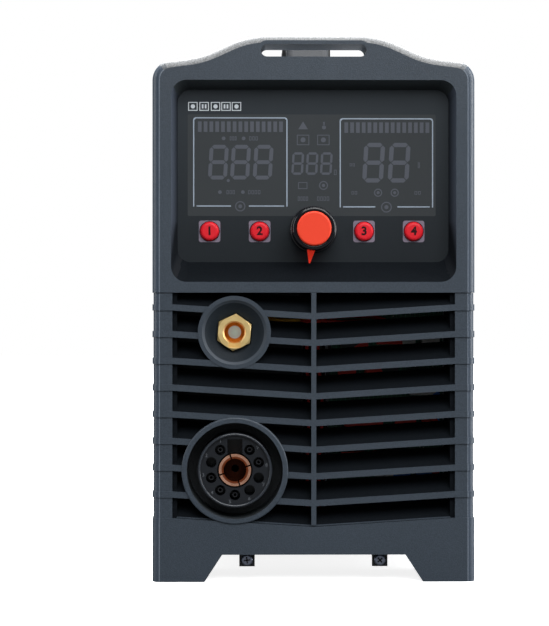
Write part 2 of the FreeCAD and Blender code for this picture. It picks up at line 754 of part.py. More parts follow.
def encoder_nut():
    nut = prism_y(hexagon(0, KNOB_Z, ENCODER_NUT_FLATS, 0), front(FLOOR_FRONT - BUSH_STAND), front(FLOOR_FRONT))
    return nut.cut(rod_y(BUSH_RADIUS + SNUG, 0, KNOB_Z, front(0), front(FLOOR_FRONT + 1)))


# ---- Knob ------------------------------------------------------------------------------------
KNOB_BACK = RECESS_DEPTH - KNOB_GAP
KNOB_FRONT = KNOB_BACK - KNOB_HEIGHT


def knob_body():
    skirt = rod_y(KNOB_SKIRT_RADIUS, 0, KNOB_Z, front(KNOB_BACK - KNOB_SKIRT_THICK), front(KNOB_BACK))
    barrel = rod_y(KNOB_RADIUS, 0, KNOB_Z, front(KNOB_FRONT + KNOB_RING_DROP), front(KNOB_BACK))
    hollow = rod_y(KNOB_HOLLOW_RADIUS, 0, KNOB_Z, front(KNOB_BACK - KNOB_HOLLOW_DEPTH), front(KNOB_BACK))
    seat = rod_y(KNOB_CAP_RADIUS + SNUG, 0, KNOB_Z, front(KNOB_FRONT), front(KNOB_FRONT + KNOB_CAP_THICK))
    bore = rod_y(SHAFT_RADIUS + SNUG, 0, KNOB_Z, front(KNOB_BACK - KNOB_HOLLOW_DEPTH - SHAFT_IN_KNOB),
                 front(KNOB_BACK))
    return cut_away(joined([skirt, barrel]), [hollow, seat, bore])


def knob_cap():
    cap = rod_y(KNOB_CAP_RADIUS, 0, KNOB_Z, front(KNOB_FRONT), front(KNOB_FRONT + KNOB_CAP_THICK))
    rim = [edge for edge in cap.Edges if abs(edge.BoundBox.YMax - front(KNOB_FRONT)) < 1e-3]
    return cap.makeFillet(1.2, rim)


def knob_pointer():
    """Red wedge on the front of the knob's skirt."""
    y1 = front(KNOB_BACK - KNOB_SKIRT_THICK)
    corners = [(-POINTER_BASE / 2, -KNOB_RADIUS + 1.5, 0), (POINTER_BASE / 2, -KNOB_RADIUS + 1.5, 0),
               (POINTER_TIP / 2, -POINTER_REACH, 0), (-POINTER_TIP / 2, -POINTER_REACH, 0)]
    wedge = prism_y(corners, y1 - POINTER_THICK, y1)
    wedge = wedge.cut(rod_y(KNOB_RADIUS + SNUG, 0, 0, y1 - POINTER_THICK - 1, y1 + 1))
    wedge.rotate(V(0, 0, 0), V(0, 1, 0), POINTER_ANGLE)
    wedge.translate(V(0, 0, KNOB_Z))
    return wedge


def encoder_shaft():
    return rod_y(SHAFT_RADIUS, 0, KNOB_Z, front(KNOB_BACK - KNOB_HOLLOW_DEPTH - SHAFT_IN_KNOB),
                 front(BOARD_DEPTH - 2.5))


# ---- Torch socket ----------------------------------------------------------------------------
def pin_place(number):
    """Centre of a pin hole; the numbers run from the key slot at the top, to the left."""
    angle = math.radians(PIN_STEP * number)
    return TORCH_X - PIN_CIRCLE * math.sin(angle), TORCH_Z + PIN_CIRCLE * math.cos(angle)


def torch_surround():
    start = -TORCH_RING_PROUD
    ring = rod_y(TORCH_RING_RADIUS, TORCH_X, TORCH_Z, front(start), front(PLATE_Y))
    rim = [edge for edge in ring.Edges if abs(edge.BoundBox.YMax - front(start)) < 1e-3]
    ring = ring.makeFillet(TORCH_RING_PROUD * 0.9, rim)
    recess = rod_y(TORCH_RECESS_RADIUS, TORCH_X, TORCH_Z, front(start), front(TORCH_RECESS_DEPTH))
    hole = rod_y(TORCH_NECK_RADIUS + SNUG, TORCH_X, TORCH_Z, front(start), front(PLATE_Y))
    return cut_away(ring, [recess, hole])


def torch_socket_body():
    face = TORCH_BODY_START + TORCH_RIM_STEP
    body = rod_y(TORCH_BODY_RADIUS, TORCH_X, TORCH_Z, front(TORCH_BODY_START), front(TORCH_RECESS_DEPTH))
    neck = rod_y(TORCH_NECK_RADIUS, TORCH_X, TORCH_Z, front(TORCH_RECESS_DEPTH), front(TORCH_NECK_END))
    cuts = [rod_y(TORCH_BODY_RADIUS - TORCH_RIM, TORCH_X, TORCH_Z, front(TORCH_BODY_START), front(face))]
    cuts.append(rod_y(CONTACT_RADIUS + CONTACT_GAP, TORCH_X, TORCH_Z, front(face), front(face + CONTACT_GAP_DEPTH)))
    cuts.append(rod_y(CONTACT_RADIUS + SNUG, TORCH_X, TORCH_Z, front(face), front(TORCH_NECK_END)))
    for number in range(1, PIN_HOLES + 1):
        x, z = pin_place(number)
        cuts.append(rod_y(PIN_HOLE_RADIUS, x, z, front(face), front(face + PIN_HOLE_DEPTH)))
    half = KEY_WIDTH / 2
    cuts.append(block(TORCH_X - half, TORCH_X + half, front(face), front(face + KEY_DEPTH),
                      TORCH_Z + CONTACT_RADIUS, TORCH_Z + KEY_REACH))
    return cut_away(joined([body, neck]), cuts)


def torch_contact():
    """Copper contact tube with four slots, closed behind its bore except for the air way."""
    face = TORCH_BODY_START + TORCH_RIM_STEP
    tube = rod_y(CONTACT_RADIUS, TORCH_X, TORCH_Z, front(face), front(CONTACT_END))
    cuts = [rod_y(CONTACT_BORE_RADIUS, TORCH_X, TORCH_Z, front(face), front(face + CONTACT_BORE_LENGTH))]
    cuts.append(rod_y(CONTACT_GAS_RADIUS, TORCH_X, TORCH_Z, front(face), front(CONTACT_END)))
    for i in range(2):
        half = CONTACT_SLOT / 2
        slot = block(-half, half, front(face), front(face + CONTACT_SLOT_DEPTH), -CONTACT_RADIUS - 1,
                     CONTACT_RADIUS + 1)
        slot.rotate(V(0, 0, 0), V(0, 1, 0), 90 * i - CONTACT_SLOT_ANGLE)
        slot.translate(V(TORCH_X, 0, TORCH_Z))
        cuts.append(slot)
    return cut_away(tube, cuts)


def torch_pins():
    face = TORCH_BODY_START + TORCH_RIM_STEP
    sleeves = []
    for number in PIN_SLEEVES:
        x, z = pin_place(number)
        sleeve = rod_y(SLEEVE_RADIUS, x, z, front(face + SLEEVE_DROP), front(face + PIN_HOLE_DEPTH))
        bore = rod_y(SLEEVE_BORE, x, z, front(face), front(face + PIN_HOLE_DEPTH - 2))
        sleeves.append(sleeve.cut(bore))
    return group(sleeves)


def torch_nut():
    nut = prism_y(hexagon(TORCH_X, TORCH_Z, TORCH_NUT_FLATS, 0), front(PLATE_BACK),
                  front(PLATE_BACK + TORCH_NUT_THICK))
    return nut.cut(rod_y(TORCH_NECK_RADIUS + SNUG, TORCH_X, TORCH_Z, front(0), front(TORCH_NECK_END)))


# ---- Work socket -----------------------------------------------------------------------------
def work_surround():
    """Dished plastic surround with a hexagonal seat for the brass socket."""
    start = front(-WORK_RING_PROUD)
    body = rod_y(WORK_RING_RADIUS, WORK_X, WORK_Z, start, front(PLATE_Y))
    neck = rod_y(WORK_NECK_RADIUS, WORK_X, WORK_Z, front(PLATE_Y), front(WORK_NECK_END))
    ball_radius = (DISH_RADIUS ** 2 + DISH_DEPTH ** 2) / (2 * DISH_DEPTH)
    dish = Part.makeSphere(ball_radius, V(WORK_X, start + DISH_DEPTH - ball_radius, WORK_Z))
    seat_flats = WORK_HEX_FLATS + 2 * WORK_HEX_GAP
    seat = prism_y(hexagon(WORK_X, WORK_Z, seat_flats, WORK_HEX_TURN), start, front(WORK_HEX_END))
    bore = rod_y(WORK_SHANK_RADIUS + SNUG, WORK_X, WORK_Z, start, front(WORK_NECK_END))
    core_radius = seat_flats / math.sqrt(3) + DISH_FLOOR
    room = rod_y(WORK_RING_RADIUS - DISH_FLOOR, WORK_X, WORK_Z, start + DISH_DEPTH + DISH_FLOOR, front(PLATE_Y))
    room = room.cut(rod_y(core_radius, WORK_X, WORK_Z, start, front(PLATE_Y)))
    return cut_away(joined([body, neck]), [dish, seat, bore, room])


def work_socket():
    hexagonal = prism_y(hexagon(WORK_X, WORK_Z, WORK_HEX_FLATS, WORK_HEX_TURN),
                        front(WORK_HEX_START), front(WORK_HEX_END))
    reach = WORK_HEX_FLATS / math.sqrt(3)
    length = WORK_HEX_END - WORK_HEX_START
    trim = Part.makeCone(WORK_HEX_FLATS / 2, reach + length * 1.5, length * 1.5 + reach - WORK_HEX_FLATS / 2,
                         V(WORK_X, front(WORK_HEX_START), WORK_Z), V(0, 1, 0))
    shank = rod_y(WORK_SHANK_RADIUS, WORK_X, WORK_Z, front(WORK_HEX_END), front(WORK_END))
    body = joined([hexagonal.common(trim), shank])
    cuts = [rod_y(WORK_BORE_RADIUS, WORK_X, WORK_Z, front(WORK_HEX_START), front(WORK_BORE_END)),
            rod_y(STUD_HEAD_RADIUS + LOOSE, WORK_X, WORK_Z, front(WORK_BORE_END), front(STUD_SEAT))]
    cuts.append(Part.makeCone(WORK_BORE_RADIUS + WORK_BORE_CHAMFER, WORK_BORE_RADIUS, WORK_BORE_CHAMFER,
                              V(WORK_X, front(WORK_HEX_START), WORK_Z), V(0, 1, 0)))
    half = WORK_KEY_WIDTH / 2
    cuts.append(block(WORK_X - half, WORK_X + half, front(WORK_HEX_START),
                      front(WORK_HEX_START + WORK_KEY_DEPTH), WORK_Z - WORK_KEY_REACH, WORK_Z))
    cuts.append(rod_y(STUD_RADIUS + SNUG, WORK_X, WORK_Z, front(WORK_HEX_START), front(WORK_END)))
    return cut_away(body, cuts)


def work_nut():
    nut = prism_y(hexagon(WORK_X, WORK_Z, WORK_NUT_FLATS, 0), front(WORK_NECK_END),
                  front(WORK_NECK_END + WORK_NUT_THICK))
    return nut.cut(rod_y(WORK_SHANK_RADIUS + SNUG, WORK_X, WORK_Z, front(0), front(WORK_END)))


def lug_eye():
    """Ring of the output lead's lug, between the work socket and its nut."""
    return WORK_END, WORK_END + PLATE_THICK


def work_stud():
    """Screw through the work socket that holds the output lead, with its nut."""
    head_y = front(STUD_SEAT - STUD_HEAD)
    head = rod_y(STUD_HEAD_RADIUS, WORK_X, WORK_Z, head_y, front(STUD_SEAT))
    key = prism_y(hexagon(WORK_X, WORK_Z, STUD_HEAD_RADIUS, 0), head_y, front(STUD_SEAT - 1))
    shank = rod_y(STUD_RADIUS, WORK_X, WORK_Z, front(STUD_SEAT), front(STUD_END))
    lug_end = lug_eye()[1]
    nut = prism_y(hexagon(WORK_X, WORK_Z, STUD_NUT_FLATS, 0), front(lug_end), front(lug_end + STUD_NUT_THICK))
    return joined([head.cut(key), shank, nut])


# ---- Sheet metal -----------------------------------------------------------------------------
def socket_plate():
    plate = block(PLATE_LEFT_X, PLATE_RIGHT_X, front(PLATE_Y), front(PLATE_BACK), TRAY_TOP_Z, ZONE_TOP_Z)
    foot = block(PLATE_LEFT_X, PLATE_RIGHT_X, front(PLATE_Y), front(PLATE_Y + PLATE_FOOT),
                 TRAY_TOP_Z, TRAY_TOP_Z + PLATE_THICK)
    holes = [rod_y(TORCH_NECK_RADIUS + SNUG, TORCH_X, TORCH_Z, front(PLATE_Y - 1), front(PLATE_BACK + 1)),
             rod_y(WORK_NECK_RADIUS + SNUG, WORK_X, WORK_Z, front(PLATE_Y - 1), front(PLATE_BACK + 1))]
    return cut_away(joined([plate, foot]), holes)


def side_screw_places():
    """Seats of the screws that hold the cover to the tray, as (place, direction)."""
    low = front(MOULDING_DEPTH + 12)
    high = rear(MOULDING_DEPTH + 12)
    places = []
    for side in (-1, 1):
        for y in (low, MIDDLE_Y, high):
            places.append(((side * COVER_HALF_X, y, SIDE_SCREW_Z), (-side, 0, 0)))
    return places


def handle_screw_places():
    x = HANDLE_FOOT_WIDTH / 2 - M4_HEAD_RADIUS - 1.2
    y = HANDLE_LENGTH / 2 - M4_HEAD_RADIUS - 1.5
    z = COVER_TOP_Z + HANDLE_FOOT_THICK
    return [((sx * x, HANDLE_Y + sy * y, z), (0, 0, -1)) for sx in (-1, 1) for sy in (-1, 1)]


def lug_screw_places():
    """Screws down from the lugs' feet would not show; these hold the lugs' tabs, facing forward."""
    z = (LUG_LOW_Z + SKIRT_Z) / 2
    return [((side * LUG_X, front(LUG_Y), z), (0, 1, 0)) for side in (-1, 1)]


def rear_screw_places():
    x = HALF_WIDTH - 11.0
    return [((side * x, rear(0), z), (0, -1, 0)) for side in (-1, 1) for z in (40.0, 190.0, 315.0)]


def machine_screws():
    """All M4 case screws and the M3 screws of the display board."""
    places = side_screw_places() + handle_screw_places() + lug_screw_places() + rear_screw_places()
    places += fan_screw_places()
    boards = [((x, front(BOARD_BACK), z), (0, -1, 0)) for x, z in board_boss_places()]
    return group([m4(place, way) for place, way in places] + [m3(place, way) for place, way in boards])


def chassis_tray():
    y0 = front(TRAY_END_GAP)
    y1 = rear(TRAY_END_GAP)
    base = block(-TRAY_HALF_X, TRAY_HALF_X, y0, y1, TRAY_Z, TRAY_TOP_Z)
    flange_y0 = front(MOULDING_DEPTH - COVER_LAP)
    flange_y1 = rear(MOULDING_DEPTH - COVER_LAP)
    flanges = []
    for side in (-1, 1):
        x0, x1 = sorted((side * (TRAY_HALF_X - TRAY_THICK), side * TRAY_HALF_X))
        flanges.append(block(x0, x1, flange_y0, flange_y1, TRAY_Z, TRAY_FLANGE_Z))
    holes = [screw_hole(place, way, M4_RADIUS, M4_LENGTH) for place, way in side_screw_places()]
    return cut_away(joined([base] + flanges), holes)


def top_cover():
    y0 = front(MOULDING_DEPTH - COVER_LAP)
    y1 = rear(MOULDING_DEPTH - COVER_LAP)
    outer = [(-COVER_HALF_X, COVER_LOW_Z, 0), (-COVER_HALF_X, COVER_TOP_Z, COVER_RADIUS),
             (COVER_HALF_X, COVER_TOP_Z, COVER_RADIUS), (COVER_HALF_X, COVER_LOW_Z, 0)]
    x = COVER_HALF_X - COVER_THICK
    z = COVER_TOP_Z - COVER_THICK
    radius = COVER_RADIUS - COVER_THICK
    inner = [(-x, COVER_LOW_Z - 1, 0), (-x, z, radius), (x, z, radius), (x, COVER_LOW_Z - 1, 0)]
    cover = prism_y(outer, y0, y1).cut(prism_y(inner, y0 - 1, y1 + 1))
    places = side_screw_places() + handle_screw_places()
    holes = [screw_hole(place, way, M4_RADIUS, M4_LENGTH) for place, way in places]
    return cut_away(cover, holes)


def front_lugs():
    """Two angle lugs under the skirt; each tab hangs below its edge."""
    lugs = []
    for side in (-1, 1):
        x0 = side * LUG_X - LUG_WIDTH / 2
        x1 = side * LUG_X + LUG_WIDTH / 2
        foot = block(x0, x1, front(LUG_Y), front(LUG_Y + LUG_FOOT), SKIRT_Z - LUG_THICK, SKIRT_Z)
        tab = block(x0, x1, front(LUG_Y), front(LUG_Y + LUG_THICK), LUG_LOW_Z, SKIRT_Z)
        lugs.append(joined([foot, tab]))
    holes = [screw_hole(place, way, M4_RADIUS, M4_LENGTH) for place, way in lug_screw_places()]
    return group(cut_away(lug, holes) for lug in lugs)


# ---- Carry handle ----------------------------------------------------------------------------
def carry_handle():
    """Fixed handle along the top: a bar between two leaning posts on flared feet."""
    half = HANDLE_LENGTH / 2
    low = COVER_TOP_Z
    top_half = half - HANDLE_SLOPE
    under = HANDLE_TOP_Z - HANDLE_THICK
    outer = [(HANDLE_Y - half, low, 0), (HANDLE_Y - top_half, HANDLE_TOP_Z, 16),
             (HANDLE_Y + top_half, HANDLE_TOP_Z, 16), (HANDLE_Y + half, low, 0)]
    inner = [(HANDLE_Y - half + HANDLE_POST, low - 1, 0), (HANDLE_Y - top_half + HANDLE_POST - 8, under, 8),
             (HANDLE_Y + top_half - HANDLE_POST + 8, under, 8), (HANDLE_Y + half - HANDLE_POST, low - 1, 0)]
    side = HANDLE_WIDTH / 2
    arch = prism_x(outer, -side, side)
    edges = [edge for edge in arch.Edges if edge.BoundBox.XLength < 1e-4 and edge.BoundBox.ZMax > low + 1]
    arch = arch.makeFillet(4.5, edges).cut(prism_x(inner, -side - 1, side + 1))
    feet = []
    for end in (-1, 1):
        y0, y1 = sorted((HANDLE_Y + end * half, HANDLE_Y + end * (half - HANDLE_FOOT_LENGTH)))
        foot = block(-HANDLE_FOOT_WIDTH / 2, HANDLE_FOOT_WIDTH / 2, y0, y1, low, low + HANDLE_FOOT_THICK)
        corners = [edge for edge in foot.Edges if edge.BoundBox.ZLength > HANDLE_FOOT_THICK - 0.1]
        feet.append(foot.makeFillet(4.0, corners))
    handle = joined([arch] + feet)
    cuts = [screw_hole(place, way, M4_RADIUS, M4_LENGTH) for place, way in handle_screw_places()]
    for place, _ in handle_screw_places():
        seat_top = (place[0], place[1], place[2] + 12)
        cuts.append(rod(M4_HEAD_RADIUS + SNUG, place, seat_top))
    return cut_away(handle, cuts)


def handle_grip():
    """Soft sleeve around the middle of the handle's bar."""
    half = GRIP_LENGTH / 2
    side = HANDLE_WIDTH / 2 + GRIP_THICK
    corners = rectangle(-side, side, HANDLE_TOP_Z - HANDLE_THICK - GRIP_THICK, HANDLE_TOP_Z + GRIP_THICK, 6.5)
    sleeve = prism_y(corners, HANDLE_Y - half, HANDLE_Y + half)
    return sleeve.cut(carry_handle())


# ---- Rear end --------------------------------------------------------------------------------
def fan_screw_places():
    offset = FAN_SCREW_OFFSET
    y = rear(-2 * GUARD_WIRE)
    return [((sx * offset, y, FAN_Z + sz * offset), (0, -1, 0)) for sx in (-1, 1) for sz in (-1, 1)]


def rear_panel():
    shell = moulding_shell().mirror(V(0, MIDDLE_Y, 0), V(0, 1, 0))
    y0 = rear(WALL + 1)
    y1 = rear(-1)
    cuts = [rod_y(FAN_BORE_RADIUS, 0, FAN_Z, y0, y1)]
    cuts.append(prism_y(rectangle(SWITCH_X - SWITCH_HALF_X + 2, SWITCH_X + SWITCH_HALF_X - 2,
                                  SWITCH_Z - SWITCH_HALF_Z + 2, SWITCH_Z + SWITCH_HALF_Z - 2, 0), y0, y1))
    cuts.append(rod_y(GLAND_THREAD_RADIUS + SNUG, GLAND_X, GLAND_Z, y0, y1))
    cuts.append(rod_y(CONTROL_RADIUS + SNUG, CONTROL_X, CONTROL_Z, y0, y1))
    cuts.append(rod_y(ELBOW_RADIUS + SNUG, ELBOW_X, PORT_Z, y0, y1))
    for place, way in rear_screw_places() + fan_screw_places():
        cuts.append(screw_hole(place, way, M4_RADIUS, M4_LENGTH))
    return cut_away(shell, cuts)


def fan_housing():
    half = FAN_SIZE / 2
    y0 = rear(WALL + FAN_THICK)
    y1 = rear(WALL)
    frame = prism_y(rectangle(-half, half, FAN_Z - half, FAN_Z + half, 6.0), y0, y1)
    frame = frame.cut(rod_y(FAN_BORE_RADIUS, 0, FAN_Z, y0, y1))
    base_y = rear(WALL + FAN_BASE_THICK)
    base = rod_y(FAN_HUB_RADIUS, 0, FAN_Z, base_y, y1)
    pin = rod_y(FAN_PIN_RADIUS, 0, FAN_Z, rear(WALL + FAN_THICK - 8), base_y)
    arms = []
    for i in range(4):
        arm = block(FAN_HUB_RADIUS - 2, FAN_BORE_RADIUS + 1, base_y, y1, -2.5, 2.5)
        arm.rotate(V(0, 0, 0), V(0, 1, 0), 90 * i + 45)
        arm.translate(V(0, 0, FAN_Z))
        arms.append(arm)
    housing = joined([frame, base, pin] + arms)
    holes = [screw_hole(place, way, M4_RADIUS, M4_LENGTH) for place, way in fan_screw_places()]
    return cut_away(housing, holes)


def fan_rotor():
    base_y = rear(WALL + FAN_BASE_THICK + 0.6)
    hub_y = rear(WALL + FAN_THICK - 1)
    hub = rod_y(FAN_HUB_RADIUS - 1, 0, FAN_Z, hub_y, base_y)
    reach = FAN_BORE_RADIUS - FAN_GAP
    middle_y = (base_y + hub_y) / 2
    blades = []
    for i in range(FAN_BLADES):
        half_chord = FAN_BLADE_CHORD / 2
        half_thick = FAN_BLADE_THICK / 2
        blade = block(FAN_HUB_RADIUS - 3, reach + 1, -half_chord, half_chord, -half_thick, half_thick)
        blade.rotate(V(0, 0, 0), V(1, 0, 0), FAN_BLADE_ANGLE)
        blade.rotate(V(0, 0, 0), V(0, 1, 0), 360.0 * i / FAN_BLADES)
        blade.translate(V(0, middle_y, FAN_Z))
        blades.append(blade)
    rotor = joined([hub] + blades).common(rod_y(reach, 0, FAN_Z, hub_y, base_y))
    return rotor.cut(rod_y(FAN_PIN_RADIUS + RUNNING, 0, FAN_Z, rear(WALL + FAN_THICK - 7), base_y + 1))


def fan_guard():
    """Wire guard: four rings on four spokes, with an eye at each screw."""
    y = rear(-GUARD_WIRE)
    eye_y0 = rear(0)
    eye_y1 = rear(-2 * GUARD_WIRE)
    parts = []
    for radius in GUARD_RINGS:
        ring = rod_y(radius + GUARD_WIRE, 0, FAN_Z, eye_y0, eye_y1)
        parts.append(ring.cut(rod_y(radius - GUARD_WIRE, 0, FAN_Z, eye_y0, eye_y1)))
    offset = FAN_SCREW_OFFSET
    for sx in (-1, 1):
        for sz in (-1, 1):
            inner = GUARD_RINGS[0] / math.sqrt(2)
            parts.append(rod(GUARD_WIRE * 0.98, (sx * inner, y, FAN_Z + sz * inner),
                             (sx * offset, y, FAN_Z + sz * offset)))
            parts.append(rod_y(M4_HEAD_RADIUS, sx * offset, FAN_Z + sz * offset, eye_y0, eye_y1))
    guard = joined(parts)
    holes = [screw_hole(place, way, M4_RADIUS, M4_LENGTH) for place, way in fan_screw_places()]
    return cut_away(guard, holes)


def switch_body():
    """Two-pole breaker: face plate outside, body inside, with a well for its lever."""
    x0 = SWITCH_X - SWITCH_HALF_X
    x1 = SWITCH_X + SWITCH_HALF_X
    z0 = SWITCH_Z - SWITCH_HALF_Z
    z1 = SWITCH_Z + SWITCH_HALF_Z
    plate = prism_y(rectangle(x0, x1, z0, z1, 2.0), rear(0), rear(-SWITCH_PROUD))
    body = block(x0 + 2 + SNUG, x1 - 2 - SNUG, rear(SWITCH_INSIDE), rear(0), z0 + 2 + SNUG, z1 - 2 - SNUG)
    well = block(SWITCH_X - SWITCH_WELL_HALF_X, SWITCH_X + SWITCH_WELL_HALF_X, rear(SWITCH_WELL_DEPTH),
                 rear(-SWITCH_PROUD - 1), SWITCH_Z - SWITCH_WELL_HALF_Z, SWITCH_Z + SWITCH_WELL_HALF_Z)
    pin = rod(LEVER_PIN_RADIUS, (SWITCH_X - SWITCH_WELL_HALF_X - 1, rear(LEVER_PIVOT_DEPTH), SWITCH_Z),
              (SWITCH_X + SWITCH_WELL_HALF_X + 1, rear(LEVER_PIVOT_DEPTH), SWITCH_Z))
    return joined([joined([plate, body]).cut(well), pin])


def switch_lever():
    """Breaker lever, resting in the off place, pointing down."""
    half = SWITCH_WELL_HALF_X - LOOSE
    y = rear(LEVER_PIVOT_DEPTH)
    hub = rod(LEVER_HUB_RADIUS, (SWITCH_X - half, y, SWITCH_Z), (SWITCH_X + half, y, SWITCH_Z))
    stick = block(SWITCH_X - half, SWITCH_X + half, y, y + LEVER_LENGTH,
                  SWITCH_Z - LEVER_THICK / 2, SWITCH_Z + LEVER_THICK / 2)
    tip = [edge for edge in stick.Edges if edge.BoundBox.YMin > y + LEVER_LENGTH - 0.1]
    stick = stick.makeFillet(1.5, tip)
    lever = joined([hub, stick])
    bore = rod(LEVER_PIN_RADIUS + RUNNING, (SWITCH_X - half - 1, y, SWITCH_Z), (SWITCH_X + half + 1, y, SWITCH_Z))
    lever = lever.cut(bore)
    lever.rotate(V(SWITCH_X, y, SWITCH_Z), V(1, 0, 0), -LEVER_REST_ANGLE)
    return lever


def cord_gland():
    hexagonal = prism_y(hexagon(GLAND_X, GLAND_Z, GLAND_FLATS, 0), rear(0), rear(-GLAND_HEX_THICK))
    dome = Part.makeCone(GLAND_DOME_RADIUS, GLAND_BORE_RADIUS + 2, GLAND_DOME,
                         V(GLAND_X, rear(-GLAND_HEX_THICK), GLAND_Z), V(0, 1, 0))
    thread = rod_y(GLAND_THREAD_RADIUS, GLAND_X, GLAND_Z, rear(GLAND_INSIDE), rear(0))
    bore = rod_y(GLAND_BORE_RADIUS, GLAND_X, GLAND_Z, rear(GLAND_INSIDE + 1), rear(-GLAND_HEX_THICK - GLAND_DOME - 1))
    return joined([hexagonal, dome, thread]).cut(bore)


def gland_nut():
    nut = prism_y(hexagon(GLAND_X, GLAND_Z, GLAND_FLATS, 0), rear(WALL + GLAND_NUT_THICK), rear(WALL))
    return nut.cut(rod_y(GLAND_THREAD_RADIUS + SNUG, GLAND_X, GLAND_Z, rear(WALL + GLAND_NUT_THICK), rear(0)))


def control_socket():
    half = CONTROL_FLANGE / 2
    flange = prism_y(rectangle(CONTROL_X - half, CONTROL_X + half, CONTROL_Z - half, CONTROL_Z + half, 2.0),
                     rear(0), rear(-2))
    body = rod_y(CONTROL_RADIUS, CONTROL_X, CONTROL_Z, rear(CONTROL_INSIDE), rear(-CONTROL_PROUD))
    well = rod_y(CONTROL_WELL_RADIUS, CONTROL_X, CONTROL_Z, rear(6), rear(-CONTROL_PROUD - 1))
    shell = joined([flange, body]).cut(well)
    pins = []
    for i in range(CONTROL_PINS):
        angle = 2 * math.pi * i / CONTROL_PINS
        x = CONTROL_X + 3.6 * math.sin(angle)
        z = CONTROL_Z + 3.6 * math.cos(angle)
        pins.append(rod_y(0.8, x, z, rear(7), rear(-1)))
    return joined([shell] + pins)


# ---- Air regulator ---------------------------------------------------------------------------
REG_Y0 = REAR_Y + REG_STAND
REG_Y1 = REG_Y0 + REG_SIZE
REG_Y = (REG_Y0 + REG_Y1) / 2


def rod_z(radius, x, y, z0, z1):
    return rod(radius, (x, y, z0), (x, y, z1))


def regulator_bracket():
    plate = block(REG_X - 24, REG_X + 24, rear(0), rear(-BRACKET_THICK), REG_LOW_Z - 8, REG_HIGH_Z + 8)
    arm = block(REG_X - 12, REG_X + 12, rear(-BRACKET_THICK), REG_Y0, REG_LOW_Z + 6, REG_HIGH_Z - 4)
    return joined([plate, arm])


def regulator_body():
    half = REG_SIZE / 2
    body = block(REG_X - half, REG_X + half, REG_Y0, REG_Y1, REG_LOW_Z, REG_HIGH_Z)
    corners = [edge for edge in body.Edges if edge.BoundBox.ZLength > 10]
    body = body.makeFillet(4.0, corners)
    bonnet = rod_z(REG_BONNET_RADIUS, REG_X, REG_Y, REG_HIGH_Z, REG_HIGH_Z + REG_BONNET)
    stem = rod_z(REG_STEM_RADIUS, REG_X, REG_Y, REG_HIGH_Z + REG_BONNET, REG_HIGH_Z + REG_BONNET + REG_STEM)
    return joined([body, bonnet, stem])


def regulator_knob():
    z0 = REG_HIGH_Z + REG_BONNET + 0.3
    knob = rod_z(REG_KNOB_RADIUS, REG_X, REG_Y, z0, z0 + REG_KNOB_HEIGHT)
    rim = [edge for edge in knob.Edges if edge.BoundBox.ZMin > z0 + REG_KNOB_HEIGHT - 0.1]
    knob = knob.makeFillet(2.0, rim)
    bore = rod_z(REG_STEM_RADIUS + RUNNING, REG_X, REG_Y, z0 - 1, REG_HIGH_Z + REG_BONNET + REG_STEM + 0.5)
    return knob.cut(bore)


def regulator_bowl():
    """Clear water bowl under the regulator, with its drain."""
    z1 = REG_LOW_Z
    z0 = z1 - BOWL_HEIGHT
    outer = rod_z(BOWL_RADIUS, REG_X, REG_Y, z0, z1)
    rim = [edge for edge in outer.Edges if edge.BoundBox.ZMax < z0 + 0.1]
    outer = outer.makeFillet(9.0, rim)
    room = rod_z(BOWL_RADIUS - BOWL_WALL, REG_X, REG_Y, z0 + 2 * BOWL_WALL, z1)
    drain = rod_z(DRAIN_RADIUS, REG_X, REG_Y, z0 - DRAIN_LENGTH, z0 + 1)
    return joined([outer.cut(room), drain])


def inlet_fitting():
    """Plain hose spigot on a hexagon, on the outer side of the regulator."""
    x0 = REG_X - REG_SIZE / 2
    hexagonal = prism_y(hexagon(0, 0, PORT_FLATS, 0), 0, PORT_HEX)
    hexagonal.rotate(V(0, 0, 0), V(0, 0, 1), 90)
    hexagonal.translate(V(x0, REG_Y, PORT_Z))
    spigot = rod(SPIGOT_RADIUS, (x0 - PORT_HEX, REG_Y, PORT_Z), (x0 - PORT_HEX - SPIGOT_LENGTH, REG_Y, PORT_Z))
    bore = rod(SPIGOT_BORE, (x0, REG_Y, PORT_Z), (x0 - PORT_HEX - SPIGOT_LENGTH, REG_Y, PORT_Z))
    return joined([hexagonal, spigot]).cut(bore)


def air_elbow():
    """Elbow from the regulator's outlet through the rear wall to the valve."""
    x0 = REG_X + REG_SIZE / 2
    across = rod(ELBOW_RADIUS, (x0, REG_Y, PORT_Z), (ELBOW_X, REG_Y, PORT_Z))
    knee = Part.makeSphere(ELBOW_RADIUS, V(ELBOW_X, REG_Y, PORT_Z))
    inward = rod_y(ELBOW_RADIUS, ELBOW_X, PORT_Z, rear(ELBOW_IN), REG_Y)
    collar = prism_y(hexagon(ELBOW_X, PORT_Z, PORT_FLATS, 0), rear(0), rear(-5))
    return joined([across, knee, inward, collar])


def solenoid_valve():
    half = VALVE_SIZE / 2
    y1 = rear(ELBOW_IN)
    body = block(ELBOW_X - half, ELBOW_X + half, y1 - VALVE_SIZE, y1, PORT_Z - half, PORT_Z + half)
    coil_y = y1 - VALVE_SIZE / 2
    coil = rod_z(COIL_RADIUS, ELBOW_X, coil_y, PORT_Z + half, PORT_Z + half + COIL_HEIGHT)
    outlet = rod_y(BARB_COLLAR_RADIUS, ELBOW_X, PORT_Z, y1 - VALVE_SIZE - BARB_COLLAR, y1 - VALVE_SIZE)
    return joined([body, coil, outlet])


def air_hose():
    start_y = rear(ELBOW_IN) - VALVE_SIZE - BARB_COLLAR
    points = [(ELBOW_X, start_y, PORT_Z), (ELBOW_X, start_y - 35, PORT_Z), (TORCH_X, 30, PORT_Z),
              (TORCH_X, -20, PORT_Z), (TORCH_X, -92, TORCH_Z), (TORCH_X, front(CONTACT_END), TORCH_Z)]
    return tube_along(points, HOSE_RADIUS)


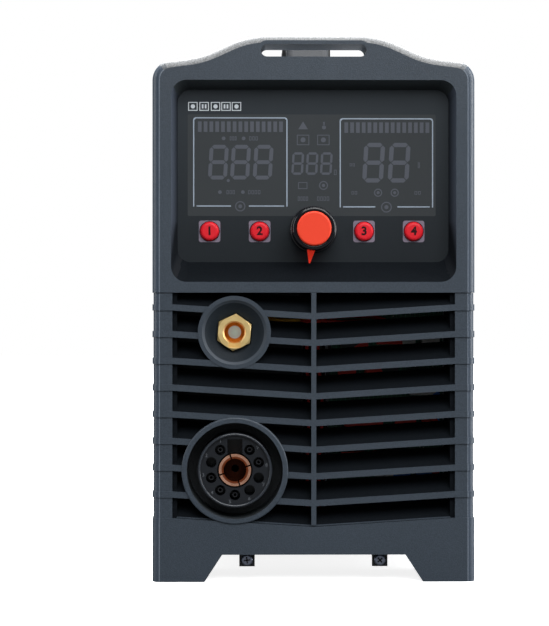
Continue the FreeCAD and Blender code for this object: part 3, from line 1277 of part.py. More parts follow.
# ---- Power section ---------------------------------------------------------------------------
def sink_lefts():
    return [-SINK_GAP / 2 - SINK_WIDTH, SINK_GAP / 2]


def heat_sinks():
    sinks = []
    y1 = SINK_FRONT_Y + SINK_LENGTH
    for x0 in sink_lefts():
        parts = [block(x0, x0 + SINK_WIDTH, SINK_FRONT_Y, y1, SINK_TOP_Z - SINK_BASE, SINK_TOP_Z)]
        pitch = (SINK_WIDTH - SINK_FIN_THICK) / (SINK_FINS - 1)
        for i in range(SINK_FINS):
            low = TRAY_TOP_Z if i in (0, SINK_FINS - 1) else SINK_FIN_LOW_Z
            x = x0 + pitch * i
            parts.append(block(x, x + SINK_FIN_THICK, SINK_FRONT_Y, y1, low, SINK_TOP_Z))
        sinks.append(joined(parts))
    return group(sinks)


def power_transistors():
    """Transistors clamped flat on the heat sinks."""
    parts = []
    for x0 in sink_lefts():
        for i in range(4):
            y = SINK_FRONT_Y + 12 + 32 * i
            parts.append(block(x0 + 30, x0 + 50, y, y + 16, SINK_TOP_Z, SINK_TOP_Z + 5))
    return parts


def standoff_places():
    xs = [x0 + side for x0 in sink_lefts() for side in (8, SINK_WIDTH - 8)]
    return [(x, y) for x in xs for y in (SINK_FRONT_Y + 8, SINK_FRONT_Y + SINK_LENGTH - 8)]


def power_standoffs():
    return [rod_z(STANDOFF_RADIUS, x, y, SINK_TOP_Z, POWER_BOARD_Z) for x, y in standoff_places()]


def power_board():
    y1 = POWER_BOARD_FRONT_Y + POWER_BOARD_LENGTH
    board = block(-POWER_BOARD_HALF_X, POWER_BOARD_HALF_X, POWER_BOARD_FRONT_Y, y1,
                  POWER_BOARD_Z, POWER_BOARD_Z + BOARD_THICK)
    notch = block(-HALF_WIDTH, TORCH_X + 3 * HOSE_RADIUS, POWER_BOARD_FRONT_Y - 1, -20,
                  POWER_BOARD_Z - 1, POWER_BOARD_Z + BOARD_THICK + 1)
    return board.cut(notch)


def bus_capacitors():
    z0 = POWER_BOARD_Z + BOARD_THICK
    places = [(x, y) for x in (28.0, 66.0) for y in (30.0, 72.0, 114.0)]
    return group(rod_z(CAPACITOR_RADIUS, x, y, z0, z0 + CAPACITOR_HEIGHT) for x, y in places)


CORE_X0, CORE_X1 = 14.0, 86.0
CORE_Y0, CORE_Y1 = -118.0, -58.0
CORE_HIGH_Z = 88.0
CORE_LEG = 12.0


def transformer_core():
    core = block(CORE_X0, CORE_X1, CORE_Y0, CORE_Y1, TRAY_TOP_Z, CORE_HIGH_Z)
    middle = (CORE_X0 + CORE_X1) / 2
    z0 = TRAY_TOP_Z + CORE_LEG
    z1 = CORE_HIGH_Z - CORE_LEG
    left = block(CORE_X0 + CORE_LEG, middle - CORE_LEG, CORE_Y0 - 1, CORE_Y1 + 1, z0, z1)
    right = block(middle + CORE_LEG, CORE_X1 - CORE_LEG, CORE_Y0 - 1, CORE_Y1 + 1, z0, z1)
    return cut_away(core, [left, right])


def transformer_winding():
    """Winding around the core's middle leg, standing out in front and behind."""
    middle = (CORE_X0 + CORE_X1) / 2
    z0 = TRAY_TOP_Z + CORE_LEG + LOOSE
    z1 = CORE_HIGH_Z - CORE_LEG - LOOSE
    x0 = CORE_X0 + CORE_LEG + LOOSE
    x1 = CORE_X1 - CORE_LEG - LOOSE
    outer = block(x0, x1, CORE_Y0 - 11, CORE_Y1 + 11, z0, z1)
    upright = [edge for edge in outer.Edges if edge.BoundBox.ZLength > 10]
    outer = outer.makeFillet(9.0, upright)
    leg = block(middle - CORE_LEG, middle + CORE_LEG, CORE_Y0, CORE_Y1, z0, z1)
    return outer.cut(leg)


CHOKE_X, CHOKE_Y = -58.0, -46.0
CHOKE_RADIUS = 30.0
CHOKE_HOLE = 11.0
CHOKE_HEIGHT = 38.0


def output_choke():
    ring = rod_z(CHOKE_RADIUS, CHOKE_X, CHOKE_Y, TRAY_TOP_Z, TRAY_TOP_Z + CHOKE_HEIGHT)
    ring = ring.cut(rod_z(CHOKE_HOLE, CHOKE_X, CHOKE_Y, TRAY_TOP_Z, TRAY_TOP_Z + CHOKE_HEIGHT))
    rims = [edge for edge in ring.Edges if edge.BoundBox.ZLength < 0.1 and edge.BoundBox.XLength > 3 * CHOKE_HOLE]
    return ring.makeFillet(8.0, rims)


def output_leads():
    """Heavy leads from the two sockets to the choke and to the transformer."""
    lug0, lug1 = lug_eye()
    eye = rod_y(8.0, WORK_X, WORK_Z, front(lug0), front(lug1))
    eye = eye.cut(rod_y(STUD_RADIUS + SNUG, WORK_X, WORK_Z, front(lug0), front(lug1)))
    tail = block(WORK_X - 4, WORK_X + 4, front(lug0), front(lug1), WORK_Z - 22, WORK_Z - 7)
    start = (WORK_X, front(lug1 + LEAD_RADIUS - 1), WORK_Z - 14)
    choke_top = TRAY_TOP_Z + CHOKE_HEIGHT
    points = [start, (WORK_X, start[1], WORK_Z - 40), (-28, -130, 106), (-30, -80, 96),
              (CHOKE_X + 19, CHOKE_Y, choke_top + 26), (CHOKE_X + 19, CHOKE_Y, choke_top)]
    work_lead = joined([eye, tail, tube_along(points, LEAD_RADIUS)])
    clamp = rod_y(CONTACT_RADIUS + 2.5, TORCH_X, TORCH_Z, front(TORCH_NECK_END), front(TORCH_NECK_END + 5))
    clamp = clamp.cut(rod_y(CONTACT_RADIUS + SNUG, TORCH_X, TORCH_Z, front(TORCH_NECK_END), front(CONTACT_END)))
    middle_y = front(TORCH_NECK_END + 2.5)
    ear = block(TORCH_X + CONTACT_RADIUS + 1, TORCH_X + 26, middle_y - 2.5, middle_y + 2.5, TORCH_Z - 3, TORCH_Z + 3)
    points = [(TORCH_X + 25, middle_y, TORCH_Z), (-6, middle_y, TORCH_Z), (4, -150, 60), (44, -149, 56),
              (46, CORE_Y0 - 11, 56)]
    torch_lead = joined([clamp, ear, tube_along(points, LEAD_RADIUS)])
    return group([work_lead, torch_lead])


# ---- Control board behind the right louvres --------------------------------------------------
def control_spacer_places():
    xs = (CONTROL_BOARD_LEFT_X + BOARD_EDGE, CONTROL_BOARD_RIGHT_X - BOARD_EDGE)
    zs = (CONTROL_BOARD_LOW_Z + BOARD_EDGE, CONTROL_BOARD_HIGH_Z - BOARD_EDGE)
    return [(x, z) for x in xs for z in zs]


def control_board():
    return block(CONTROL_BOARD_LEFT_X, CONTROL_BOARD_RIGHT_X, front(CONTROL_BOARD_Y),
                 front(CONTROL_BOARD_Y + BOARD_THICK), CONTROL_BOARD_LOW_Z, CONTROL_BOARD_HIGH_Z)


def board_standoffs():
    """Spacers behind the control board and standoffs under the power board."""
    y0 = front(CONTROL_BOARD_Y + BOARD_THICK)
    spacers = [rod_y(SPACER_RADIUS, x, z, y0, y0 + SPACER_LENGTH) for x, z in control_spacer_places()]
    return group(spacers + power_standoffs())


def board_bracket():
    y0 = front(CONTROL_BOARD_Y + BOARD_THICK + SPACER_LENGTH)
    x0 = CONTROL_BOARD_LEFT_X - 2
    x1 = CONTROL_BOARD_RIGHT_X + 2
    wall = block(x0, x1, y0, y0 + TRAY_THICK, TRAY_TOP_Z, CONTROL_BOARD_HIGH_Z + 2)
    foot = block(x0, x1, y0 - PLATE_FOOT, y0 + TRAY_THICK, TRAY_TOP_Z, TRAY_TOP_Z + TRAY_THICK)
    return joined([wall, foot])


def board_parts():
    """Relays and connectors on the control board, and the power transistors."""
    y1 = front(CONTROL_BOARD_Y)
    sizes = [(20, 150, 18, 12, 14), (44, 152, 26, 10, 9), (74, 146, 12, 16, 11), (18, 120, 12, 18, 10),
             (36, 122, 22, 16, 16), (66, 118, 20, 14, 12), (22, 92, 26, 14, 12), (56, 90, 14, 18, 14),
             (74, 92, 12, 12, 9), (20, 66, 16, 14, 12), (42, 64, 24, 16, 15), (70, 64, 16, 12, 10)]
    parts = [block(x, x + wide, y1 - deep, y1, z, z + high) for x, z, wide, high, deep in sizes]
    return group(parts + power_transistors())


def panel_nuts():
    return group([encoder_nut(), torch_nut(), work_nut(), gland_nut()])


def signal_leads():
    """Three thin leads that cross behind the top louvres to the control board."""
    leads = []
    for i in range(3):
        lift = 3.2 * i
        points = [(-8, front(PLATE_BACK + 3 + lift), 150 + lift), (4, front(34 + lift), 162 + lift),
                  (26, front(31 + lift), 165 + lift), (50, front(34 + lift), 163 + lift),
                  (48 + 6 * i, front(CONTROL_BOARD_Y - 9) - 1, 157)]
        leads.append(tube_along(points, WIRE_RADIUS))
    return group(leads)


NODES = {
    "front_bezel": front_bezel,
    "front_frame": front_frame,
    "louvre_panel": louvre_panel,
    "display_overlay": display_overlay,
    "display_window": display_window,
    "display_module": display_module,
    "display_board": display_board,
    "button_switches": button_switches,
    "encoder_body": encoder_body,
    "encoder_shaft": encoder_shaft,
    "knob_body": knob_body,
    "knob_cap": knob_cap,
    "knob_pointer": knob_pointer,
    "torch_surround": torch_surround,
    "torch_socket_body": torch_socket_body,
    "torch_contact": torch_contact,
    "torch_pins": torch_pins,
    "work_surround": work_surround,
    "work_socket": work_socket,
    "work_stud": work_stud,
    "socket_plate": socket_plate,
    "front_lugs": front_lugs,
    "chassis_tray": chassis_tray,
    "top_cover": top_cover,
    "machine_screws": machine_screws,
    "carry_handle": carry_handle,
    "handle_grip": handle_grip,
    "rear_panel": rear_panel,
    "fan_housing": fan_housing,
    "fan_rotor": fan_rotor,
    "fan_guard": fan_guard,
    "switch_body": switch_body,
    "switch_lever": switch_lever,
    "cord_gland": cord_gland,
    "panel_nuts": panel_nuts,
    "control_socket": control_socket,
    "regulator_bracket": regulator_bracket,
    "regulator_body": regulator_body,
    "regulator_knob": regulator_knob,
    "regulator_bowl": regulator_bowl,
    "inlet_fitting": inlet_fitting,
    "air_elbow": air_elbow,
    "solenoid_valve": solenoid_valve,
    "air_hose": air_hose,
    "heat_sinks": heat_sinks,
    "power_board": power_board,
    "bus_capacitors": bus_capacitors,
    "transformer_core": transformer_core,
    "transformer_winding": transformer_winding,
    "output_choke": output_choke,
    "output_leads": output_leads,
    "control_board": control_board,
    "board_parts": board_parts,
    "board_bracket": board_bracket,
    "board_standoffs": board_standoffs,
    "signal_leads": signal_leads,
}

for number, x in enumerate(BUTTON_XS, 1):
    NODES["button_%d" % number] = lambda x=x: button(x)

os.makedirs("parts", exist_ok=True)
for name, build in NODES.items():
    shape = build()
    solids = shape.Solids
    if not shape.isValid() or not solids:
        print("check", name, "valid", shape.isValid(), "solids", len(solids))
    if len(solids) == 1:
        shape = solids[0]
    shape.exportStep("parts/%s.step" % name)
print("nodes", len(NODES))
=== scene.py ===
import bpy
import bmesh
import math
from mathutils import Matrix, Vector


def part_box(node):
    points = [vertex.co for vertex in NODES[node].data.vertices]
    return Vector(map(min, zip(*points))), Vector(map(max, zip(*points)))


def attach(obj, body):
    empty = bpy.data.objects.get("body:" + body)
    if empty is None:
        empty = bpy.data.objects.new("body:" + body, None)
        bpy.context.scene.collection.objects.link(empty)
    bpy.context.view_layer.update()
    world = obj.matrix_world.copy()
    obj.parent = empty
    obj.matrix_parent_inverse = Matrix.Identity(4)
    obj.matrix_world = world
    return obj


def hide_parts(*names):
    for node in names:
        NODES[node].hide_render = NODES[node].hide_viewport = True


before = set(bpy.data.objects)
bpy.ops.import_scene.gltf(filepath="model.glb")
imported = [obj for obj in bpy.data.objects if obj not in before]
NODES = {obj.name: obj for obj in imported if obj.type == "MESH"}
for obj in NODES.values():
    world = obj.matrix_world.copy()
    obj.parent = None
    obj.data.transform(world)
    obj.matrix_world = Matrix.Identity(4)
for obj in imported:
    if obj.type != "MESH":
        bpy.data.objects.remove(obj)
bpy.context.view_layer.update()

# Plasma cutter unit: finishes, display graphics, ribs, louvres and other fine pieces around the
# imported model. Metres; the front faces -Y.

MM = 0.001
SCENE = bpy.context.scene
FACE_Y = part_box("front_frame")[0].y
OVERLAY_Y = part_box("display_overlay")[0].y
WINDOW_LOW, WINDOW_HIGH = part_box("display_window")
PRINT = 0.08 * MM            # thickness of printed graphics
LOUVRES_LOW = 22 * MM        # the grille's opening, foot and head
LOUVRES_HIGH = 186.5 * MM
SHOULDERS_LOW = 318 * MM     # where the rounded corners under the arch begin
FLAT = -0.9995               # Y of the normal of a face that looks straight ahead
TORCH = (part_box("torch_socket_body")[0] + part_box("torch_socket_body")[1]) / 2
WORK = (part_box("work_socket")[0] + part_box("work_socket")[1]) / 2
KNOB = (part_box("knob_cap")[0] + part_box("knob_cap")[1]) / 2


# ---- Shader maths ----------------------------------------------------------------------------
class Value:
    """A number socket that takes part in Python arithmetic."""

    def __init__(self, look, socket):
        self.look = look
        self.socket = socket

    def math(self, operation, *items):
        node = self.look.tree.nodes.new("ShaderNodeMath")
        node.operation = operation
        for slot, item in zip(node.inputs, items):
            self.look.feed(slot, item)
        return Value(self.look, node.outputs[0])

    def __add__(self, other):
        return self.math("ADD", self, other)

    __radd__ = __add__

    def __sub__(self, other):
        return self.math("SUBTRACT", self, other)

    def __rsub__(self, other):
        return self.math("SUBTRACT", other, self)

    def __mul__(self, other):
        return self.math("MULTIPLY", self, other)

    __rmul__ = __mul__

    def __truediv__(self, other):
        return self.math("DIVIDE", self, other)

    def __pow__(self, other):
        return self.math("POWER", self, other)

    def clamped(self):
        return self.math("MAXIMUM", self.math("MINIMUM", self, 1.0), 0.0)

    def wave(self):
        return self.math("SINE", self)

    def above(self, edge):
        return self.math("GREATER_THAN", self, edge)


class Look:
    """One procedural material."""

    def __init__(self, name):
        self.material = bpy.data.materials.new(name)
        self.material.use_nodes = True
        self.tree = self.material.node_tree
        self.tree.nodes.clear()
        self.shader = self.tree.nodes.new("ShaderNodeBsdfPrincipled")
        self.output = self.tree.nodes.new("ShaderNodeOutputMaterial")
        self.tree.links.new(self.shader.outputs[0], self.output.inputs[0])
        self.coords = self.tree.nodes.new("ShaderNodeTexCoord").outputs["Object"]

    def feed(self, slot, item):
        if isinstance(item, Value):
            item = item.socket
        if isinstance(item, bpy.types.NodeSocket):
            self.tree.links.new(item, slot)
        else:
            slot.default_value = item

    def node(self, kind, settings, inputs, output=0):
        node = self.tree.nodes.new("ShaderNode" + kind)
        for name, setting in settings.items():
            setattr(node, name, setting)
        for name, item in inputs.items():
            self.feed(node.inputs[name], item)
        return node.outputs[output]

    def stretched(self, scale):
        return self.node("Mapping", {}, {"Vector": self.coords, "Scale": scale})

    def noise(self, scale, detail=3.0, vector=None):
        inputs = {"Vector": vector or self.coords, "Scale": scale, "Detail": detail}
        return Value(self, self.node("TexNoise", {}, inputs, "Fac"))

    def axis(self, name):
        return Value(self, self.node("SeparateXYZ", {}, {"Vector": self.coords}, name))

    def blend(self, factor, first, second):
        node = self.tree.nodes.new("ShaderNodeMix")
        node.data_type = "RGBA"
        self.feed(node.inputs[0], factor)
        self.feed(node.inputs[6], first)
        self.feed(node.inputs[7], second)
        return node.outputs[2]

    def bump(self, height, distance, strength=1.0):
        inputs = {"Height": height, "Distance": distance, "Strength": strength}
        return self.node("Bump", {}, inputs)

    def set(self, **inputs):
        for name, item in inputs.items():
            self.feed(self.shader.inputs[name.replace("_", " ")], item)
        return self


BODY_GREY = (0.0315, 0.0425, 0.0570)


def tone(colour, factor):
    return tuple(min(1.0, part * factor) for part in colour) + (1.0,)


def finish(name, colour, rough, grain=0, height=0.0, mottle=0.08, metal=0.0, scuff=0.12, coat=0.0,
           stretch=None, speck=0.0, shine=0.5):
    """A surface with broad mottling, fine grain in its bump and roughness, and light scuffs."""
    look = Look(name)
    broad = look.noise(14.0, 4.0)
    fine_at = look.stretched(stretch) if stretch else None
    fine = look.noise(grain or 600.0, 3.0, fine_at)
    marks = (look.noise(45.0, 6.0, look.stretched((1.0, 3.0, 0.6))) - 0.62) * 6.0
    marks = marks.clamped() * 0.5
    body = look.blend(broad, tone(colour, 1 - mottle), tone(colour, 1 + mottle))
    body = look.blend(marks * mottle * 2, body, tone(colour, 1.6))
    if speck:
        body = look.blend(((fine - 0.5) * 4 + 0.5).clamped() * speck, body, tone(colour, 2.2))
    look.set(Base_Color=body, Metallic=metal, Specular_IOR_Level=shine)
    look.set(Roughness=(rough + (broad - 0.5) * scuff + (fine - 0.5) * 0.12 + marks * scuff).clamped())
    if coat:
        look.set(Coat_Weight=coat, Coat_Roughness=0.08)
    if height:
        look.set(Normal=look.bump(fine, height))
    return look.material


def board_finish(name):
    """Green circuit board with paler tracks and tinned pads."""
    look = Look(name)
    grid = look.node("TexBrick", {}, {"Vector": look.coords, "Scale": 160.0, "Mortar Size": 0.03}, "Fac")
    pads = look.node("TexVoronoi", {}, {"Vector": look.coords, "Scale": 330.0, "Randomness": 0.4}, "Distance")
    pad = 1 - Value(look, pads).above(0.22)
    green = look.blend(grid, (0.012, 0.085, 0.05, 1), (0.03, 0.2, 0.1, 1))
    look.set(Base_Color=look.blend(pad, green, (0.6, 0.58, 0.5, 1)), Metallic=pad * 0.8)
    look.set(Roughness=0.35 + look.noise(200.0) * 0.2)
    look.set(Normal=look.bump(pad, 0.00003))
    return look.material


def parts_finish(name):
    """Boxed components of several colours, one to a cell of space."""
    look = Look(name)
    cell = look.node("TexVoronoi", {}, {"Vector": look.coords, "Scale": 38.0}, "Color")
    pick = Value(look, look.node("SeparateXYZ", {}, {"Vector": cell}, "X"))
    hue = (0.03, 0.03, 0.035, 1)
    colours = ((0.25, (0.03, 0.14, 0.5, 1)), (0.45, (0.75, 0.5, 0.05, 1)), (0.62, (0.6, 0.03, 0.02, 1)),
               (0.78, (0.55, 0.56, 0.55, 1)))
    for edge, colour in colours:
        hue = look.blend(pick.above(edge), hue, colour)
    look.set(Base_Color=hue, Roughness=0.35 + look.noise(150.0) * 0.2)
    look.set(Normal=look.bump(look.noise(900.0), 0.00004))
    return look.material


def clear_finish(name, colour, alpha):
    look = Look(name)
    haze = look.noise(60.0, 5.0)
    look.set(Base_Color=look.blend(haze, tone(colour, 0.9), tone(colour, 1.1)))
    look.set(Roughness=0.06 + haze * 0.12, Alpha=alpha + haze * 0.15)
    return look.material


def lifted(name, colour, strength):
    """A colour lifted by a little emission, which the real piece doesn't give."""
    look = Look(name)
    haze = look.noise(300.0)
    shade = look.blend(haze, tone(colour, 0.85), tone(colour, 1.1))
    look.set(Base_Color=shade, Emission_Color=tone(colour, 1.0), Emission_Strength=strength)
    look.set(Roughness=0.14 + haze * 0.12, Coat_Weight=0.3)
    return look.material


def wall_finish(name, first, last, shine):
    """Sloping recess wall with its shade painted on: darker towards the overlay and the foot."""
    look = Look(name)
    depth = ((look.axis("Y") - FACE_Y) / (OVERLAY_Y - FACE_Y)).clamped()
    low = ((232 * MM - look.axis("Z")) / (34 * MM)).clamped()
    depth = (depth + low ** 0.7 * 1.1).clamped()
    fine = look.noise(1300.0)
    body = look.blend(depth ** 1.5, tone(first, 1.0), tone(last, 1.0))
    look.set(Base_Color=look.blend(fine * 0.3, body, tone(last, 0.8)), Specular_IOR_Level=shine)
    look.set(Roughness=0.45 + fine * 0.1, Normal=look.bump(fine, 0.0001))
    return look.material


def overlay_finish(name):
    """Dark printed sheet. Its paler top is a painted reflection, not a second colour."""
    look = Look(name)
    high = ((look.axis("Z") - 205 * MM) / (95 * MM)).clamped()
    fine = look.noise(2200.0)
    body = look.blend(high, (0.0135, 0.0170, 0.0205, 1), (0.0275, 0.0335, 0.0395, 1))
    look.set(Base_Color=look.blend(fine * 0.1, body, (0.06, 0.07, 0.08, 1)), Specular_IOR_Level=0.13)
    look.set(Roughness=0.46 + fine * 0.1, Normal=look.bump(fine, 0.00003))
    return look.material


def dish_finish(name):
    """Work socket surround with the shade of its dish painted on, inside its body-coloured rim."""
    look = Look(name)
    x = look.axis("X") - WORK.x
    z = look.axis("Z") - WORK.z
    inside = ((19.3 * MM - (x * x + z * z) ** 0.5) / (0.4 * MM)).clamped()
    fine = look.noise(1300.0)
    body = look.blend(inside, tone(BODY_GREY, 1.0), (0.011, 0.015, 0.019, 1))
    look.set(Base_Color=look.blend(fine * 0.25, body, tone(BODY_GREY, 1.5)))
    look.set(Specular_IOR_Level=0.4 - inside * 0.3, Roughness=0.46 + fine * 0.1)
    look.set(Normal=look.bump(fine, 0.0001))
    return look.material


def deep_copper(name):
    """Turned copper with painted shade: darker and redder inside its inner ring, and dark down its bore."""
    look = Look(name)
    x = look.axis("X") - TORCH.x
    z = look.axis("Z") - TORCH.z
    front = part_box("torch_contact")[0].y
    depth = ((look.axis("Y") - (front + 0.3 * MM)) / (5 * MM)).clamped()
    radius = (x * x + z * z) ** 0.5
    inner = ((9.0 * MM - radius) / (0.6 * MM)).clamped()
    stain = look.noise(220.0, 5.0)
    bright = look.blend(stain, (0.66, 0.30, 0.18, 1), (0.95, 0.56, 0.40, 1))
    look.set(Base_Color=look.blend(depth * 0.94, look.blend(inner, bright, (0.30, 0.07, 0.025, 1)),
                                   (0.020, 0.004, 0.001, 1)))
    ring = (radius * 7000.0 + look.noise(300.0) * 3.0).wave() * 0.5 + 0.5
    look.set(Metallic=0.9, Roughness=(0.30 + ring * 0.1 + (stain - 0.5) * 0.2).clamped())
    look.set(Normal=look.bump(ring, 0.00002))
    return look.material


def rich_brass(name):
    """Turned brass; the deeper orange inside the bore of the work socket is a painted reflection."""
    look = Look(name)
    x = look.axis("X") - WORK.x
    z = look.axis("Z") - WORK.z
    radius = (x * x + z * z) ** 0.5
    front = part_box("work_socket")[0].y
    inner = ((7.4 * MM - radius) / (0.8 * MM)).clamped() * ((look.axis("Y") - front) / (2 * MM)).clamped()
    stain = look.noise(160.0, 5.0)
    pale = look.blend(stain, (0.80, 0.54, 0.18, 1), (0.98, 0.76, 0.38, 1))
    look.set(Base_Color=look.blend(inner, pale, (0.90, 0.34, 0.03, 1)), Metallic=0.6)
    ring = (radius * 9000.0 + look.axis("Y") * 9000.0 + look.noise(300.0) * 3.0).wave() * 0.5 + 0.5
    look.set(Roughness=(0.30 + ring * 0.07 + (stain - 0.5) * 0.22).clamped())
    look.set(Normal=look.bump(ring, 0.00002))
    return look.material


LOOKS = {
    "moulding": finish("moulded_grey_plastic", BODY_GREY, 0.42, 1300.0, 0.00010, 0.10,
                       speck=0.32, shine=0.45),
    "black": finish("moulded_black_plastic", (0.008, 0.009, 0.012), 0.40, 1400.0, 0.00006),
    "socket": finish("socket_resin", (0.010, 0.012, 0.016), 0.32, 1800.0, 0.00003, coat=0.1, shine=0.4),
    "handle": finish("handle_plastic", (0.020, 0.023, 0.028), 0.46, 1300.0, 0.00010),
    "rubber": finish("soft_rubber", (0.013, 0.013, 0.014), 0.72, 1700.0, 0.00012),
    "cover": finish("powder_coated_sheet", (0.032, 0.046, 0.064), 0.40, 1300.0, 0.00012, 0.07,
                    speck=0.25, shine=0.45),
    "zinc": finish("zinc_plated_sheet", (0.50, 0.52, 0.55), 0.34, 420.0, 0.00002, 0.18, 0.9),
    "steel": finish("plated_screws", (0.52, 0.55, 0.60), 0.28, 700.0, 0.00002, 0.15, 1.0),
    "overlay": overlay_finish("printed_overlay"),
    "window": finish("smoked_window", (0.041, 0.046, 0.050), 0.42, 900.0, 0.0, 0.05, scuff=0.05, shine=0.18),
    "segment": finish("dull_segments", (0.088, 0.096, 0.116), 0.45, 1500.0, 0.0, 0.06, shine=0.2),
    "line": finish("printed_pale_lines", (0.31, 0.37, 0.45), 0.45, 1500.0, 0.0, 0.10),
    "icon": finish("printed_icons", (0.60, 0.64, 0.68), 0.45, 1500.0, 0.0, 0.08),
    "surround": finish("printed_button_squares", (0.200, 0.165, 0.220), 0.42, 1500.0, 0.00001, 0.06),
    "button": finish("red_button_caps", (0.760, 0.012, 0.024), 0.42, 1500.0, 0.00002, 0.05, shine=0.3),
    "button_mark": finish("button_numbers", (0.020, 0.002, 0.003), 0.5, 1500.0, shine=0.2),
    "knob": finish("knob_gloss_black", (0.005, 0.005, 0.007), 0.11, 1600.0, 0.00001),
    "cap": finish("knob_orange_insert", (0.900, 0.062, 0.026), 0.46, 1500.0, 0.00002, 0.04, shine=0.25),
    "pointer": lifted("red_pointer", (0.90, 0.030, 0.008), 0.30),
    "brass": rich_brass("turned_brass"),
    "copper": deep_copper("bare_copper"),
    "board": board_finish("circuit_board"),
    "parts": parts_finish("board_components"),
    "alloy": finish("cast_alloy", (0.50, 0.51, 0.53), 0.42, 800.0, 0.00006, 0.1, 0.9),
    "can": finish("capacitor_sleeve", (0.018, 0.020, 0.050), 0.28, 500.0, 0.00002),
    "ferrite": finish("ferrite", (0.05, 0.05, 0.055), 0.6, 900.0, 0.00008),
    "winding": finish("enamelled_wire", (0.45, 0.16, 0.05), 0.3, 260.0, 0.0003, 0.2, 0.8, stretch=(1, 1, 9)),
    "red_lead": finish("red_lead", (0.62, 0.025, 0.020), 0.38, 900.0, 0.00003),
    "blue_hose": finish("blue_hose", (0.02, 0.08, 0.33), 0.42, 900.0, 0.00004),
    "bowl": clear_finish("clear_bowl", (0.70, 0.76, 0.80), 0.38),
    "dark": finish("deep_black", (0.004, 0.004, 0.005), 0.7, 900.0),
    # recess: one dark colour, painted shade in the display recess, the louvres and the work socket surround.
    "recess": finish("painted_shade_recess_walls", (0.0055, 0.0070, 0.0090), 0.70, 1300.0, 0.00008, 0.10,
                     speck=0.3, shine=0.03),
    "dished": dish_finish("dished_surround"),
    # side_wall to side_edge hold painted light or shade, which stays put under other lights.
    "side_wall": wall_finish("recess_side_walls", (0.075, 0.090, 0.120), (0.008, 0.010, 0.013), 0.1),
    "top_wall": wall_finish("recess_top_wall", (0.040, 0.050, 0.056), (0.014, 0.018, 0.020), 0.2),
    "top_edge": finish("painted_top_highlight", (0.150, 0.153, 0.156), 0.48, 1100.0, 0.00012, 0.12,
                       speck=0.7),
    "fading_edge": finish("painted_corner_highlight", (0.085, 0.092, 0.100), 0.46, 1100.0, 0.00012, 0.12,
                          speck=0.5),
    "edge_line": finish("painted_edge_highlight", (0.110, 0.132, 0.165), 0.40, 1300.0, 0.00008, 0.10,
                        speck=0.3),
    "side_edge": finish("side_edge", (0.034, 0.048, 0.069), 0.42, 1300.0, 0.00010, 0.10, speck=0.3),
    "foam": finish("filter_foam", (0.006, 0.006, 0.007), 0.9, 500.0, 0.0006, 0.3, shine=0.1),
    "yellow_lead": finish("yellow_lead", (0.70, 0.33, 0.02), 0.4, 900.0, 0.00003),
    "black_lead": finish("black_lead", (0.010, 0.010, 0.011), 0.36, 900.0, 0.00003),
    # lug_screw: darker metal whose blue tint is a painted sheen on the lug screws.
    "lug_screw": finish("bluish_sheen_lug_screws", (0.30, 0.33, 0.42), 0.30, 700.0, 0.00002, 0.2, 0.9),
    "lip": finish("socket_lip", (0.030, 0.036, 0.046), 0.24, 1500.0, 0.00002, coat=0.3),
    "pin": finish("blackened_pins", (0.050, 0.052, 0.058), 0.34, 700.0, 0.00002, 0.15, 0.8),
    "channel": finish("socket_channel", (0.034, 0.040, 0.045), 0.42, 1300.0, 0.00008, 0.10, shine=0.4),
    "stud": lifted("dull_zinc_screw", (0.40, 0.47, 0.42), 0.42),
    "printing": finish("moulded_numbers", (0.120, 0.132, 0.150), 0.42, 1500.0),
}

NODE_LOOKS = {
    "moulding": ("front_bezel", "front_frame", "louvre_panel", "torch_surround",
                 "work_surround", "rear_panel"),
    "overlay": ("display_overlay",),
    "window": ("display_window",),
    "dark": ("display_module", "button_switches"),
    "board": ("display_board", "control_board", "power_board"),
    "parts": ("board_parts",),
    # socket_plate wears this black as painted shade behind the louvres.
    "black": ("switch_body", "switch_lever", "control_socket", "cord_gland", "fan_housing", "fan_rotor",
              "solenoid_valve", "regulator_knob", "front_lugs", "socket_plate"),
    "socket": ("torch_socket_body",),
    "button": ("button_1", "button_2", "button_3", "button_4"),
    "knob": ("knob_body",),
    "cap": ("knob_cap",),
    "pointer": ("knob_pointer",),
    "steel": ("encoder_body", "encoder_shaft", "machine_screws", "fan_guard", "panel_nuts",
              "board_standoffs"),
    "pin": ("torch_pins",),
    "stud": ("work_stud",),
    "brass": ("work_socket", "inlet_fitting", "air_elbow"),
    "copper": ("torch_contact",),
    "cover": ("top_cover",),
    "zinc": ("chassis_tray", "board_bracket", "regulator_bracket"),
    "handle": ("carry_handle",),
    "rubber": ("handle_grip",),
    "alloy": ("regulator_body", "heat_sinks"),
    "bowl": ("regulator_bowl",),
    "blue_hose": ("air_hose",),
    "can": ("bus_capacitors",),
    "ferrite": ("transformer_core",),
    "winding": ("transformer_winding", "output_choke"),
    "red_lead": ("signal_leads", "output_leads"),
}


